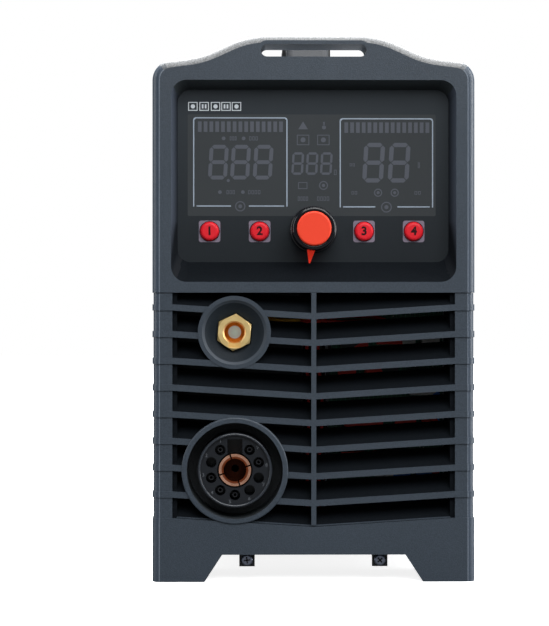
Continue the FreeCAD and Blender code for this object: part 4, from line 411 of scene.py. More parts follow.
def dress_nodes():
    for look, names in NODE_LOOKS.items():
        for name in names:
            mesh = NODES[name].data
            mesh.materials.clear()
            mesh.materials.append(LOOKS[look])
    # The lug screws get the painted bluish sheen.
    mark_faces("machine_screws", "lug_screw", lambda c, n: c.z < 20 * MM)
    # The rounded front edges get painted light: highlights along the top, and a line and band down the sides.
    for name in ("front_bezel", "front_frame"):
        mark_faces(name, "side_edge", rounded_side)
        mark_faces(name, "edge_line", lambda c, n: rounded_side(c, n) and n.y < -0.985)
    mark_faces("front_bezel", "fading_edge", lambda c, n: rounded_top(c, n) and abs(n.x) < 0.62 * across(n))
    mark_faces("front_bezel", "top_edge", lambda c, n: rounded_top(c, n) and abs(n.x) < 0.42 * across(n))
    # The recess faces below get painted shade, and the display recess walls painted light and shade.
    mark_faces("front_bezel", "recess", in_display_recess)
    for name in ("louvre_panel", "front_frame"):
        mark_faces(name, "recess", behind_face)
    mark_faces("front_bezel", "side_wall", lambda c, n: in_display_recess(c, n) and abs(n.x) > 0.45)
    mark_faces("front_bezel", "top_wall", lambda c, n: in_display_recess(c, n) and n.z < -0.45)
    mark_faces("louvre_panel", "recess", beside_slats)
    mark_faces("work_surround", "dished", lambda c, n: away(c, WORK) < 22 * MM)
    mark_faces("work_surround", "recess", lambda c, n: c.y > FACE_Y + 1.5 * MM and away(c, WORK) > 22 * MM)
    mark_faces("torch_surround", "channel", lambda c, n: c.y > FACE_Y + 0.5 * MM)


def mark_faces(node, look, chosen):
    """Gives the chosen faces of a node a second finish."""
    mesh = NODES[node].data
    mesh.materials.append(LOOKS[look])
    index = len(mesh.materials) - 1
    for face in mesh.polygons:
        if chosen(face.center, face.normal):
            face.material_index = index


def away(point, centre):
    return math.hypot(point.x - centre.x, point.z - centre.z)


def across(n):
    """How far a normal leans away from straight ahead."""
    return math.hypot(n.x, n.z)


def rounded_side(c, n):
    edge = 98.7 * MM if c.z < SHOULDERS_LOW else 84 * MM
    rounded = abs(n.x) > 0.03 and FLAT < n.y < -0.03
    return abs(c.x) > edge and rounded and c.y < FACE_Y + 5.2 * MM


def beside_slats(c, n):
    beside = abs(c.x) > 86 * MM and LOUVRES_LOW < c.z < LOUVRES_HIGH
    return beside and n.y < -0.9 and c.y > FACE_Y + 2.5 * MM


def rounded_top(c, n):
    in_slot = abs(c.x) < 42 * MM and c.z < 346 * MM
    rounded = n.z > 0.04 and n.y > FLAT
    return c.z > SHOULDERS_LOW and rounded and c.y < FACE_Y + 12 * MM and not in_slot


def in_display_recess(c, n):
    return abs(c.x) < 93.5 * MM and 190 * MM < c.z < 325 * MM and c.y > FACE_Y + 0.15 * MM


def behind_face(c, n):
    inside = abs(c.x) < 95 * MM and LOUVRES_LOW < c.z < LOUVRES_HIGH
    return inside and n.y > -0.98 and FACE_Y + 0.6 * MM < c.y < FACE_Y + 57 * MM


# ---- Mesh helpers ----------------------------------------------------------------------------
def piece(name, mesh, look, body):
    """A finished piece at the origin, riding on a body."""
    mesh.materials.clear()
    mesh.materials.append(LOOKS[look])
    obj = bpy.data.objects.new(name, mesh)
    SCENE.collection.objects.link(obj)
    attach(obj, body)
    return obj


def mesh_from(bm, name):
    bmesh.ops.remove_doubles(bm, verts=bm.verts, dist=1e-7)
    bmesh.ops.recalc_face_normals(bm, faces=bm.faces)
    mesh = bpy.data.meshes.new(name)
    bm.to_mesh(mesh)
    bm.free()
    return mesh


def add_prism(bm, outline, y, thick):
    """A flat prism facing -Y: outline in x, z; its front lies at y - thick."""
    back = [bm.verts.new((x, y, z)) for x, z in outline]
    front = [bm.verts.new((x, y - thick, z)) for x, z in outline]
    bm.faces.new(back)
    bm.faces.new(list(reversed(front)))
    count = len(outline)
    for i in range(count):
        j = (i + 1) % count
        bm.faces.new((back[i], front[i], front[j], back[j]))


def add_frame(bm, outer, inner, y, thick):
    """A flat ring between two outlines with as many points each."""
    rings = []
    for outline in (outer, inner):
        for depth in (0.0, thick):
            rings.append([bm.verts.new((x, y - depth, z)) for x, z in outline])
    back_out, front_out, back_in, front_in = rings
    count = len(outer)
    for i in range(count):
        j = (i + 1) % count
        for a, b in ((back_out, front_out), (front_out, front_in), (front_in, back_in), (back_in, back_out)):
            bm.faces.new((a[i], a[j], b[j], b[i]))


def circle(x, z, radius, count=32, start=0.0):
    return [(x + radius * math.cos(start + 2 * math.pi * i / count),
             z + radius * math.sin(start + 2 * math.pi * i / count)) for i in range(count)]


def rounded_square(x, z, half, radius, steps=8):
    points = []
    for corner in range(4):
        cx = x + (half - radius) * (1 if corner in (0, 3) else -1)
        cz = z + (half - radius) * (1 if corner in (0, 1) else -1)
        for i in range(steps):
            angle = math.pi / 2 * (corner + i / (steps - 1))
            points.append((cx + radius * math.cos(angle), cz + radius * math.sin(angle)))
    return points


def bar(u0, v0, u1, v1):
    return [(u0, v0), (u1, v0), (u1, v1), (u0, v1)]


# ---- Geometry Nodes: rows and rings of one small item ----------------------------------------
def array_tree(kind):
    """Node tree that sets an item along a line, or around a circle about Y, turned as it goes."""
    tree = bpy.data.node_groups.new("array_" + kind, "GeometryNodeTree")
    face = tree.interface
    face.new_socket("Geometry", in_out="OUTPUT", socket_type="NodeSocketGeometry")
    face.new_socket("Item", in_out="INPUT", socket_type="NodeSocketObject")
    face.new_socket("Count", in_out="INPUT", socket_type="NodeSocketInt")
    face.new_socket("Step", in_out="INPUT", socket_type="NodeSocketVector")
    face.new_socket("Start", in_out="INPUT", socket_type="NodeSocketVector")
    face.new_socket("Radius", in_out="INPUT", socket_type="NodeSocketFloat")
    face.new_socket("Finish", in_out="INPUT", socket_type="NodeSocketMaterial")
    nodes = tree.nodes
    link = tree.links.new
    entry = nodes.new("NodeGroupInput")
    item = nodes.new("GeometryNodeObjectInfo")
    link(entry.outputs["Item"], item.inputs["Object"])
    line = nodes.new("GeometryNodeMeshLine")
    link(entry.outputs["Count"], line.inputs["Count"])
    link(entry.outputs["Start"], line.inputs["Start Location"])
    spread = nodes.new("GeometryNodeInstanceOnPoints")
    link(item.outputs["Geometry"], spread.inputs["Instance"])
    if kind == "row":
        link(entry.outputs["Step"], line.inputs["Offset"])
        link(line.outputs[0], spread.inputs["Points"])
    else:
        index = nodes.new("GeometryNodeInputIndex")
        share = nodes.new("ShaderNodeMath")
        share.operation = "DIVIDE"
        link(index.outputs[0], share.inputs[0])
        link(entry.outputs["Count"], share.inputs[1])
        angle = nodes.new("ShaderNodeMath")
        angle.operation = "MULTIPLY"
        angle.inputs[1].default_value = 2 * math.pi
        link(share.outputs[0], angle.inputs[0])
        turn = nodes.new("ShaderNodeCombineXYZ")
        link(angle.outputs[0], turn.inputs["Y"])
        arm = nodes.new("ShaderNodeCombineXYZ")
        link(entry.outputs["Radius"], arm.inputs["Z"])
        swing = nodes.new("ShaderNodeVectorRotate")
        swing.rotation_type = "EULER_XYZ"
        link(arm.outputs[0], swing.inputs["Vector"])
        link(turn.outputs[0], swing.inputs["Rotation"])
        place = nodes.new("GeometryNodeSetPosition")
        line.inputs["Offset"].default_value = (0, 0, 0)
        link(line.outputs[0], place.inputs["Geometry"])
        link(swing.outputs[0], place.inputs["Offset"])
        link(place.outputs[0], spread.inputs["Points"])
        link(turn.outputs[0], spread.inputs["Rotation"])
    real = nodes.new("GeometryNodeRealizeInstances")
    link(spread.outputs[0], real.inputs[0])
    paint = nodes.new("GeometryNodeSetMaterial")
    link(real.outputs[0], paint.inputs["Geometry"])
    link(entry.outputs["Finish"], paint.inputs["Material"])
    leave = nodes.new("NodeGroupOutput")
    link(paint.outputs[0], leave.inputs[0])
    return tree


TREES = {"row": array_tree("row"), "ring": array_tree("ring")}


def array_mesh(kind, item_mesh, look, **inputs):
    """Runs an array tree on one item and gives the result as a plain mesh."""
    item = bpy.data.objects.new("item", item_mesh)
    SCENE.collection.objects.link(item)
    carrier = bpy.data.objects.new("carrier", bpy.data.meshes.new("carrier"))
    SCENE.collection.objects.link(carrier)
    modifier = carrier.modifiers.new("array", "NODES")
    modifier.node_group = TREES[kind]
    sockets = {s.name: s.identifier for s in TREES[kind].interface.items_tree if s.in_out == "INPUT"}
    modifier[sockets["Item"]] = item
    modifier[sockets["Finish"]] = LOOKS[look]
    for name, value in inputs.items():
        modifier[sockets[name]] = value
    depsgraph = bpy.context.evaluated_depsgraph_get()
    mesh = bpy.data.meshes.new_from_object(carrier.evaluated_get(depsgraph))
    bpy.data.objects.remove(carrier)
    bpy.data.objects.remove(item)
    return mesh


def joined_mesh(meshes, name):
    bm = bmesh.new()
    for mesh in meshes:
        bm.from_mesh(mesh)
    mesh = bpy.data.meshes.new(name)
    bm.to_mesh(mesh)
    bm.free()
    return mesh


# ---- Display graphics ------------------------------------------------------------------------
def at(u, v):
    """A point of the window, from millimetres right of and below its upper left corner."""
    return WINDOW_LOW.x + u * MM, WINDOW_HIGH.z - v * MM


def add_shape(bm, points, thick=PRINT):
    add_prism(bm, [at(u, v) for u, v in points], OVERLAY_Y, thick)


def add_ring(bm, u, v, radius, line):
    x, z = at(u, v)
    add_frame(bm, circle(x, z, radius * MM), circle(x, z, (radius - line) * MM), OVERLAY_Y, PRINT)


def add_dot(bm, u, v, radius):
    x, z = at(u, v)
    add_prism(bm, circle(x, z, radius * MM, 20), OVERLAY_Y, PRINT)


def add_digit(bm, u, v, width, height, thick):
    """All seven segments of one unlit digit, leaning a little to the right."""
    lean = 0.06
    gap = thick * 0.12
    half = height / 2

    def put(points):
        add_shape(bm, [(u + a + (height - b) * lean, v + b) for a, b in points])

    for level in (0.0, half - thick / 2, height - thick):
        middle = level + thick / 2
        put([(gap + thick / 2, middle), (gap + thick, level), (width - gap - thick, level),
             (width - gap - thick / 2, middle), (width - gap - thick, level + thick),
             (gap + thick, level + thick)])
    for left in (0.0, width - thick):
        for top in (thick / 2 + gap, half + gap):
            end = top + half - thick / 2 - 2 * gap
            middle = left + thick / 2
            put([(middle, top), (left + thick, top + thick / 2), (left + thick, end - thick / 2),
                 (middle, end), (left, end - thick / 2), (left, top + thick / 2)])


def bar_graph(u0, v0, count=15, width=2.4, height=6.8, pitch=3.77):
    bm = bmesh.new()
    add_shape(bm, bar(u0, v0, u0 + width, v0 + height))
    item = mesh_from(bm, "graph_bar")
    return array_mesh("row", item, "segment", Count=count, Step=(pitch * MM, 0, 0), Start=(0, 0, 0))


def display_segments():
    bm = bmesh.new()
    for u in (13.0, 27.4, 42.1):
        add_digit(bm, u, 19.8, 12.4, 22.5, 2.5)
    add_dot(bm, 26.3, 43.0, 1.0)
    for u in (67.2, 76.5, 85.8):
        add_digit(bm, u, 24.6, 7.6, 14.6, 1.5)
    for u in (113.2, 129.8):
        add_digit(bm, u, 18.4, 13.6, 25.8, 2.8)
    for u, v in ((23.3, 15.6), (36.3, 15.6), (20.9, 50.5), (35.8, 50.5)):
        add_dot(bm, u, v, 1.2)
    marks = ((27.3, 14.6, 32.1, 16.6), (39.9, 14.6, 46.0, 16.6),
             (25.2, 49.5, 31.0, 51.5), (39.2, 49.5, 47.7, 51.5),
             (95.0, 36.2, 97.3, 39.0), (71.5, 53.6, 78.6, 55.8), (84.0, 53.6, 92.4, 55.8),
             (105.2, 32.0, 109.0, 33.4), (149.6, 31.4, 151.2, 34.4), (106.4, 50.1, 110.6, 51.7),
             (147.4, 50.1, 152.0, 51.7))
    for u0, v0, u1, v1 in marks:
        count = max(1, round((u1 - u0) / 1.9))
        pitch = (u1 - u0) / count
        for k in range(count):
            box_frame(bm, u0 + pitch * k, v0 - 0.3, u0 + pitch * (k + 0.74), v1 + 0.3, 0.4)
    for u, v, radius in ((34.1, 59.7, 3.35), (129.1, 60.2, 3.5), (123.7, 50.8, 2.65), (134.5, 50.8, 2.65),
                         (88.2, 46.1, 2.9)):
        add_ring(bm, u, v, radius, 0.7)
        add_dot(bm, u, v, radius * 0.38)
    add_shape(bm, [(74.9, 4.6), (78.0, 9.6), (71.8, 9.6)])
    add_shape(bm, bar(88.0, 4.8, 89.0, 7.6))
    add_dot(bm, 88.5, 8.4, 1.3)
    for u in (70.9, 84.1):
        box_frame(bm, u, 13.2, u + 8.0, 19.9, 0.5)
        add_dot(bm, u + 4.0, 16.5, 1.6)
    box_frame(bm, 71.7, 44.0, 77.7, 48.4, 0.5)
    graphs = [bar_graph(6.6, 4.6), bar_graph(101.8, 5.1)]
    piece("display_segments", joined_mesh([mesh_from(bm, "digits")] + graphs, "segments"), "segment", "case")


def box_frame(bm, u0, v0, u1, v1, line):
    outer = [at(u, v) for u, v in bar(u0, v0, u1, v1)]
    inner = [at(u, v) for u, v in bar(u0 + line, v0 + line, u1 - line, v1 - line)]
    add_frame(bm, outer, inner, OVERLAY_Y, PRINT)


def open_frame(bm, u0, u1, v0, v1, gap0, gap1, line=0.75):
    """Pale frame around one readout, open below around its round symbol."""
    add_shape(bm, bar(u0, v0 + 1.6, u0 + line, v1))
    add_shape(bm, bar(u1 - line, v0 + 1.6, u1, v1))
    add_shape(bm, [(u0, v0 + 1.6), (u0 + 0.5, v0 + 0.5), (u0 + 1.6, v0), (u1 - 1.6, v0), (u1 - 0.5, v0 + 0.5),
                   (u1, v0 + 1.6), (u1 - line, v0 + 1.8), (u1 - 1.9, v0 + line), (u0 + 1.9, v0 + line),
                   (u0 + line, v0 + 1.8)])
    add_shape(bm, bar(u0 + 2.2, v1 - line, gap0, v1))
    add_shape(bm, bar(gap1, v1 - line, u1 - 2.2, v1))


def display_lines():
    bm = bmesh.new()
    open_frame(bm, 3.5, 64.8, 1.9, 59.9, 28.1, 39.7)
    open_frame(bm, 98.7, 159.5, 2.4, 60.4, 121.9, 136.3)
    piece("display_lines", mesh_from(bm, "lines"), "line", "case")


def overlay_icons():
    """Five small plain signs over the window: outlined boxes with simple shapes inside."""
    bm = bmesh.new()
    top, low = -8.0, -2.3
    for i, u in enumerate((0.3, 7.6, 15.0, 21.8, 28.6)):
        box_frame(bm, u, top, u + 6.1, low, 0.55)
        middle = u + 3.05
        if i % 2:
            add_shape(bm, bar(middle - 1.5, top + 1.5, middle - 0.4, low - 1.5))
            add_shape(bm, bar(middle + 0.4, top + 1.5, middle + 1.5, low - 1.5))
        else:
            add_dot(bm, middle, (top + low) / 2, 1.4)
    piece("overlay_icons", mesh_from(bm, "icons"), "icon", "case")


# ---- Buttons, knob ---------------------------------------------------------------------------
def number_mesh(text, x, y, z, size, bold=0.0):
    """A plain number facing -Y, centred at a point."""
    curve = bpy.data.curves.new("number", "FONT")
    curve.body = text
    curve.size = size
    curve.align_x = "CENTER"
    curve.align_y = "CENTER"
    curve.extrude = 0.06 * MM
    curve.offset = bold
    obj = bpy.data.objects.new("number", curve)
    SCENE.collection.objects.link(obj)
    depsgraph = bpy.context.evaluated_depsgraph_get()
    mesh = bpy.data.meshes.new_from_object(obj.evaluated_get(depsgraph))
    bpy.data.objects.remove(obj)
    mesh.transform(Matrix.Translation((x, y, z)) @ Matrix.Rotation(math.pi / 2, 4, "X"))
    return mesh


def button_prints():
    bm = bmesh.new()
    for i in range(1, 5):
        low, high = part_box("button_%d" % i)
        middle = (low + high) / 2
        outer = rounded_square(middle.x, middle.z, 7.0 * MM, 1.6 * MM)
        inner = circle(middle.x, middle.z, 6.65 * MM, len(outer))
        add_frame(bm, outer, inner, OVERLAY_Y, PRINT)
        mark = number_mesh(str(i), middle.x, low.y - 0.02 * MM, middle.z, 7.6 * MM, 0.25 * MM)
        piece("button_%d_number" % i, mark, "button_mark", "push_button_%d" % i)
    piece("button_squares", mesh_from(bm, "squares"), "surround", "case")


def rib_mesh(width, length, height, y0):
    """A half-round rib along Y, standing out along +Z from the origin."""
    bm = bmesh.new()
    steps = 6
    ends = []
    for y in (y0, y0 + length):
        ends.append([bm.verts.new((-width / 2 * math.cos(math.pi * i / steps), y,
                                   height * math.sin(math.pi * i / steps))) for i in range(steps + 1)])
    for i in range(steps):
        bm.faces.new((ends[0][i], ends[0][i + 1], ends[1][i + 1], ends[1][i]))
    bm.faces.new(ends[0])
    bm.faces.new(ends[1])
    bm.faces.new((ends[0][0], ends[1][0], ends[1][-1], ends[0][-1]))
    return mesh_from(bm, "rib")


def lathe(profile, centre, count):
    """A turned piece about an axis along Y: profile rows are (radius, y, ripple, teeth)."""
    bm = bmesh.new()
    rows = []
    for radius, y, ripple, teeth in profile:
        row = []
        for k in range(count):
            angle = 2 * math.pi * k / count
            reach = radius - ripple * (0.5 + 0.5 * math.cos(teeth * angle)) ** 2
            x = centre.x + reach * math.cos(angle)
            z = centre.z + reach * math.sin(angle)
            row.append(bm.verts.new((x, y, z)))
        rows.append(row)
    for one, two in zip(rows, rows[1:]):
        for k in range(count):
            bm.faces.new((one[k], one[(k + 1) % count], two[(k + 1) % count], two[k]))
    bm.faces.new(rows[0])
    bm.faces.new(rows[-1])
    for face in bm.faces:
        face.smooth = True
    return mesh_from(bm, "lathe")


def knob_turning():
    """The knob: glossy barrel with fluted grip, hollow for its insert, and a ribbed skirt."""
    low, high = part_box("knob_body")
    face = low.y
    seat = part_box("knob_cap")[1].y
    barrel = 13.75 * MM
    skirt = (high.x - low.x) / 2
    hole = 11.06 * MM
    rows = [(hole, seat, 0, 1), (hole, face + 0.5 * MM, 0, 1), (hole + 0.25 * MM, face + 0.12 * MM, 0, 1),
            (hole + 0.6 * MM, face, 0, 1), (barrel - 1.3 * MM, face, 0, 1)]
    for i in range(1, 6):
        turn = math.pi / 2 * i / 5
        reach = barrel - 1.3 * MM + 1.3 * MM * math.sin(turn)
        rows.append((reach, face + 1.3 * MM * (1 - math.cos(turn)), 0, 1))
    flute = 0.55 * MM
    rows += [(barrel, face + 2.0 * MM, 0, 1), (barrel, face + 2.6 * MM, flute, 40),
             (barrel, face + 12.4 * MM, flute, 40), (barrel, face + 13.0 * MM, 0, 1),
             (barrel, high.y - 4.6 * MM, 0, 1), (barrel + 0.5 * MM, high.y - 4.1 * MM, 0, 1),
             (skirt - 0.5 * MM, high.y - 3.9 * MM, 0, 1), (skirt, high.y - 3.4 * MM, 0.35 * MM, 72),
             (skirt, high.y - 0.6 * MM, 0.35 * MM, 72), (skirt - 0.4 * MM, high.y, 0, 1)]
    knob = piece("knob_turning", lathe(rows, KNOB, 360), "knob", "knob")
    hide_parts("knob_body")


def fan_filter():
    """Foam disc on the inner side of the fan."""
    low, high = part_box("fan_housing")
    centre = (low + high) / 2
    rows = []
    for i in range(12):
        wave = 0.5 * MM * math.cos(i * math.pi)
        rows.append(((58.0 - 5.0 * i) * MM, low.y - 1.8 * MM - wave, 0.6 * MM if i else 0, 48))
    rows = [(58.0 * MM, low.y - 0.3 * MM, 0, 48)] + rows
    piece("fan_filter", lathe(rows, centre, 192), "foam", "case")


def wire(bm, points, radius):
    """A round wire through the points, as smooth rings joined end to end."""
    path = []
    for i in range(len(points) - 1):
        before = Vector(points[max(i - 1, 0)])
        start = Vector(points[i])
        end = Vector(points[i + 1])
        after = Vector(points[min(i + 2, len(points) - 1)])
        for k in range(8):
            t = k / 8
            bend = 2 * before - 5 * start + 4 * end - after
            path.append(0.5 * (2 * start + (end - before) * t + bend * t * t
                               + (3 * start - before - 3 * end + after) * t ** 3))
    path.append(Vector(points[-1]))
    rings = []
    for i, place in enumerate(path):
        way = (path[min(i + 1, len(path) - 1)] - path[max(i - 1, 0)]).normalized()
        side = way.cross(Vector((0.31, 0.93, 0.2))).normalized()
        other = way.cross(side)
        rings.append([bm.verts.new(place + radius * (side * math.cos(a) + other * math.sin(a)))
                      for a in (2 * math.pi * k / 10 for k in range(10))])
    for one, two in zip(rings, rings[1:]):
        for k in range(10):
            face = bm.faces.new((one[k], one[(k + 1) % 10], two[(k + 1) % 10], two[k]))
            face.smooth = True
    bm.faces.new(rings[0])
    bm.faces.new(rings[-1])


def front_wiring():
    """Loose wires behind the louvres: level runs at the top and a loom hanging beside the socket plate."""
    groups = {"red_lead": [], "yellow_lead": [], "black_lead": [], "blue_hose": []}
    y = FACE_Y + 29 * MM
    groups["red_lead"].append([(-8, 0, 168), (14, 2, 167.5), (36, 1, 165.5), (60, 3, 167), (86, 2, 163)])
    groups["yellow_lead"].append([(-30, 0, 169.5), (-16, -1, 168.2), (4, 2.6, 169.6), (18, 5, 174),
                                  (30, 7, 182)])
    groups["red_lead"].append([(56, 1, 146), (60, 1, 149.5), (66, 1, 150.5), (88, 5, 153)])
    groups["blue_hose"].append([(58, 9, 140), (62, 2, 146.5), (69, 2, 148.5), (74, 9, 150)])
    groups["yellow_lead"].append([(52, 9, 124), (55, 2, 131.0), (60, 2, 132.4), (64, 9, 134)])
    groups["red_lead"].append([(76, 3, 135), (82, 2, 133), (90, 3, 134)])
    for i in range(9):
        x = -7 + 2.1 * i
        bend = 2.5 * math.sin(i * 1.7)
        group = ("black_lead", "black_lead", "red_lead", "black_lead")[i % 4]
        deep = 9 + 3 * (i % 2)
        groups[group].append([(x, deep, 184), (x + bend, deep + 1, 150), (x - bend * 0.7, deep - 1, 110),
                              (x + bend * 0.6, deep + 1, 70), (x, deep, 26)])
    for group, runs in groups.items():
        bm = bmesh.new()
        for run in runs:
            wire(bm, [(px * MM, y + py * MM, pz * MM) for px, py, pz in run], 1.2 * MM)
        piece("front_wires_" + group, mesh_from(bm, "wires"), group, "case")


# ---- Sockets ---------------------------------------------------------------------------------
def torch_numbers():
    y = FACE_Y + 5.5 * MM
    meshes = []
    for number in range(1, 10):
        angle = math.radians(36 * number)
        reach = 20.7 * MM
        meshes.append(number_mesh(str(number), TORCH.x - reach * math.sin(angle - 0.16), y - 0.05 * MM,
                                  TORCH.z + reach * math.cos(angle - 0.16), 3.2 * MM))
    piece("torch_pin_numbers", joined_mesh(meshes, "numbers"), "printing", "case")


# ---- Cover louvres, grip ribs, regulator knob ------------------------------------------------
def hood_mesh(side, x, y0, y1, z, height, proud):
    """One pressed louvre hood on the cover: a quarter-round roof, open below."""
    bm = bmesh.new()
    steps = 6
    rows = []
    for k in range(9):
        share = k / 8
        y = y0 + (y1 - y0) * share
        swell = math.sin(math.pi * min(1, max(0, share * 5)) / 2)
        swell *= math.sin(math.pi * min(1, (1 - share) * 5) / 2)
        row = []
        for i in range(steps + 1):
            angle = math.pi / 2 * i / steps
            out = side * proud * swell * math.sin(angle)
            row.append(bm.verts.new((x + out, y, z + height * math.cos(angle))))
        rows.append(row)
    for k in range(8):
        for i in range(steps):
            bm.faces.new((rows[k][i], rows[k][i + 1], rows[k + 1][i + 1], rows[k + 1][i]))
    mesh = mesh_from(bm, "hood")
    return mesh


def torch_lip():
    """Rounded lip on the rim of the torch socket."""
    rim_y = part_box("torch_socket_body")[0].y
    outer = 24.0 * MM
    inner = 22.3 * MM
    half = (outer - inner) / 2
    rows = []
    for i in range(13):
        turn = math.pi * i / 12
        rows.append((inner + half - half * math.cos(turn), rim_y - 0.75 * MM * math.sin(turn), 0, 1))
    foot_y = rim_y + 0.6 * MM
    mesh = ring_mesh(rows + [(outer - 0.05 * MM, foot_y, 0, 1), (inner + 0.05 * MM, foot_y, 0, 1)],
                     TORCH, 128)
    piece("torch_socket_lip", mesh, "lip", "case")


def ring_mesh(section, centre, count):
    """A closed section carried round an axis along Y."""
    bm = bmesh.new()
    rows = [[bm.verts.new((centre.x + r * math.cos(2 * math.pi * k / count), y,
                           centre.z + r * math.sin(2 * math.pi * k / count))) for k in range(count)]
            for r, y, ripple, teeth in section]
    for one, two in zip(rows, rows[1:] + rows[:1]):
        for k in range(count):
            face = bm.faces.new((one[k], one[(k + 1) % count], two[(k + 1) % count], two[k]))
            face.smooth = True
    return mesh_from(bm, "ring")


def cover_louvres():
    low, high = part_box("top_cover")
    meshes = []
    slots = []
    for side, x in ((-1, low.x), (1, high.x)):
        for y0, y1 in ((low.y + 40 * MM, low.y + 130 * MM), (high.y - 130 * MM, high.y - 40 * MM)):
            hood = hood_mesh(side, x, y0, y1, 100 * MM, 7 * MM, 2.6 * MM)
            meshes.append(array_mesh("row", hood, "cover", Count=9, Step=(0, 0, 16 * MM), Start=(0, 0, 0)))
            # A thin dark box under each hood stands for its opening: painted shade.
            bm = bmesh.new()
            bmesh.ops.create_cube(bm, size=1.0, matrix=Matrix.Translation(
                (x + side * 0.1 * MM, (y0 + y1) / 2, 101.4 * MM)) @ Matrix.Diagonal(
                    (0.3 * MM, (y1 - y0) - 14 * MM, 3.0 * MM, 1)))
            slots.append(array_mesh("row", mesh_from(bm, "slot"), "dark", Count=9, Step=(0, 0, 16 * MM),
                                    Start=(0, 0, 0)))
    piece("cover_louvres", joined_mesh(meshes, "louvres"), "cover", "case")
    piece("cover_louvre_slots", joined_mesh(slots, "slots"), "dark", "case")


def grip_ribs():
    low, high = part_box("handle_grip")
    middle_x = (low.x + high.x) / 2
    bm = bmesh.new()
    half = (high.x - low.x) / 2
    z = (low.z + high.z) / 2
    outer = rounded_box(middle_x, z, half, (high.z - low.z) / 2, 6.5 * MM)
    inner = rounded_box(middle_x, z, half - 0.8 * MM, (high.z - low.z) / 2 - 0.8 * MM, 5.7 * MM)
    add_frame(bm, outer, inner, low.y + 7 * MM, -2.2 * MM)
    rib = mesh_from(bm, "grip_rib")
    count = 20
    step = (high.y - low.y - 16 * MM) / (count - 1)
    mesh = array_mesh("row", rib, "rubber", Count=count, Step=(0, step, 0), Start=(0, 0, 0))
    piece("grip_ribs", mesh, "rubber", "case")


def rounded_box(x, z, half_x, half_z, radius, steps=6):
    points = []
    for corner in range(4):
        cx = x + (half_x - radius) * (1 if corner in (0, 3) else -1)
        cz = z + (half_z - radius) * (1 if corner in (0, 1) else -1)
        for i in range(steps):
            angle = math.pi / 2 * (corner + i / (steps - 1))
            points.append((cx + radius * math.cos(angle), cz + radius * math.sin(angle)))
    return points


def regulator_ribs():
    low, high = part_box("regulator_knob")
    middle = (low + high) / 2
    height = high.z - low.z
    rib = rib_mesh(2.2 * MM, height - 5 * MM, 0.9 * MM, -(height - 5 * MM) / 2)
    reach = (high.x - low.x) / 2 - 0.1 * MM
    mesh = array_mesh("ring", rib, "rubber", Count=28, Start=(0, 0, 0), Radius=reach)
    mesh.transform(Matrix.Translation(middle) @ Matrix.Rotation(math.pi / 2, 4, "X"))
    piece("regulator_knob_ribs", mesh, "rubber", "pressure_knob")


# ---- Screw recesses --------------------------------------------------------------------------
def islands(node):
    """The separate solids of a CAD node, each as a list of points."""
    bm = bmesh.new()
    bm.from_mesh(NODES[node].data)
    bmesh.ops.remove_doubles(bm, verts=bm.verts, dist=1e-6)
    left = set(bm.verts)
    found = []
    while left:
        stack = [left.pop()]
        group = []
        while stack:
            vert = stack.pop()
            group.append(vert.co.copy())
            for edge in vert.link_edges:
                other = edge.other_vert(vert)
                if other in left:
                    left.remove(other)
                    stack.append(other)
        found.append(group)
    bm.free()
    return found


def screw_recesses():
    """A dark cross in the head of each screw: painted shade for its cross recess."""
    bm = bmesh.new()
    for points in islands("machine_screws"):
        low = Vector([min(p[i] for p in points) for i in range(3)])
        high = Vector([max(p[i] for p in points) for i in range(3)])
        size = high - low
        axis = max(range(3), key=lambda i: size[i])
        middle = (low + high) / 2
        reach = max(size[i] for i in range(3) if i != axis) / 2
        wide_low = sum(1 for p in points if p[axis] < middle[axis] and (p - middle).length > reach)
        wide_high = sum(1 for p in points if p[axis] > middle[axis] and (p - middle).length > reach)
        sign = -1 if wide_low > wide_high else 1
        top = middle.copy()
        top[axis] = high[axis] if sign > 0 else low[axis]
        way = Vector((0, 0, 0))
        way[axis] = sign
        turn = way.to_track_quat("Z", "Y").to_matrix().to_4x4()
        spin = Matrix.Rotation(0.4 + 7 * middle.x + 3 * middle.z, 4, "Z")
        for quarter in (0, math.pi / 2):
            shape = Matrix.Diagonal((reach * 1.1, reach * 0.24, 0.12 * MM, 1))
            bmesh.ops.create_cube(bm, size=1.0, matrix=Matrix.Translation(top) @ turn @ spin
                                  @ Matrix.Rotation(quarter, 4, "Z") @ shape)
    piece("screw_recesses", mesh_from(bm, "recesses"), "dark", "case")


# ---- Room, light, camera ---------------------------------------------------------------------
def floor():
    """Pale floor that is white to the camera only and sends the object almost no light."""
    bm = bmesh.new()
    bmesh.ops.create_grid(bm, x_segments=1, y_segments=1, size=6.0)
    mesh = bpy.data.meshes.new("floor")
    bm.to_mesh(mesh)
    bm.free()
    look = Look("pale_floor")
    seen = look.tree.nodes.new("ShaderNodeLightPath").outputs["Is Camera Ray"]
    shade = look.blend(look.noise(3.0), (0.93, 0.93, 0.93, 1), (0.96, 0.96, 0.96, 1))
    look.set(Base_Color=look.blend(seen, (0.05, 0.05, 0.05, 1), shade), Roughness=0.8)
    x = look.axis("X")
    y = look.axis("Y")
    far = (((x * x + y * y) ** 0.5 - 0.35) / 0.6).clamped() * Value(look, seen)
    look.set(Emission_Color=(1, 1, 1, 1), Emission_Strength=(far * 0.4 + 0.85) * Value(look, seen))
    mesh.materials.append(look.material)
    obj = bpy.data.objects.new("floor", mesh)
    SCENE.collection.objects.link(obj)


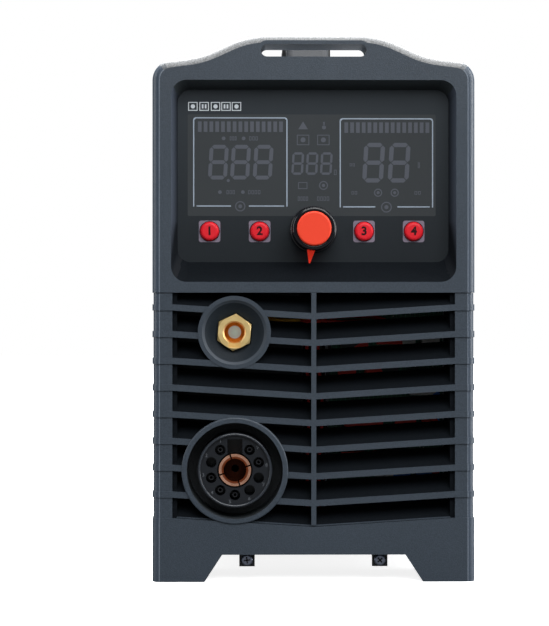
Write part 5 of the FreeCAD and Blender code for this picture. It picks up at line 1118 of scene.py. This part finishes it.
def softbox(name, place, aim, width, height, power):
    light = bpy.data.lights.new(name, "AREA")
    light.shape = "RECTANGLE"
    light.size = width
    light.size_y = height
    light.energy = power
    obj = bpy.data.objects.new(name, light)
    SCENE.collection.objects.link(obj)
    obj.location = place
    obj.rotation_euler = (Vector(aim) - Vector(place)).to_track_quat("-Z", "Y").to_euler()


def lights():
    world = bpy.data.worlds.new("studio")
    world.use_nodes = True
    tree = world.node_tree
    fill = tree.nodes["Background"]
    fill.inputs[0].default_value = (0.80, 0.92, 1.0, 1)
    fill.inputs[1].default_value = 0.16
    seen = tree.nodes.new("ShaderNodeBackground")
    seen.inputs[0].default_value = (1, 1, 1, 1)
    path = tree.nodes.new("ShaderNodeLightPath")
    mix = tree.nodes.new("ShaderNodeMixShader")
    tree.links.new(path.outputs["Is Camera Ray"], mix.inputs[0])
    tree.links.new(fill.outputs[0], mix.inputs[1])
    tree.links.new(seen.outputs[0], mix.inputs[2])
    tree.links.new(mix.outputs[0], tree.nodes["World Output"].inputs[0])
    SCENE.world = world
    middle = (0, 0, 0.2)
    softbox("top_box", (0, 0.62, 1.8), (0, 0.5, 0), 2.0, 2.0, 140)
    softbox("front_box", (0.5, -1.9, 1.75), middle, 2.6, 1.6, 62)
    softbox("right_box", (1.6, -0.3, 0.6), middle, 0.9, 1.6, 34)
    softbox("left_box", (-1.6, -0.3, 0.6), middle, 0.6, 1.4, 11)
    softbox("back_box", (0.3, 1.8, 1.0), middle, 1.6, 1.0, 14)


def camera():
    data = bpy.data.cameras.new("camera")
    data.lens = 107.3
    data.sensor_width = 36.0
    obj = bpy.data.objects.new("camera", data)
    SCENE.collection.objects.link(obj)
    yaw = math.radians(0.7)
    distance = 1.2
    aim = Vector((-0.0253, FACE_Y, 0.173))
    way = Vector((math.sin(yaw), math.cos(yaw), 0))
    obj.location = aim - way * distance
    obj.rotation_euler = way.to_track_quat("-Z", "Y").to_euler()
    SCENE.camera = obj
    SCENE.view_settings.view_transform = "Standard"


camera()
dress_nodes()
display_segments()
display_lines()
overlay_icons()
button_prints()
knob_turning()
fan_filter()
front_wiring()
torch_numbers()
torch_lip()
cover_louvres()
grip_ribs()
regulator_ribs()
screw_recesses()
floor()
lights()
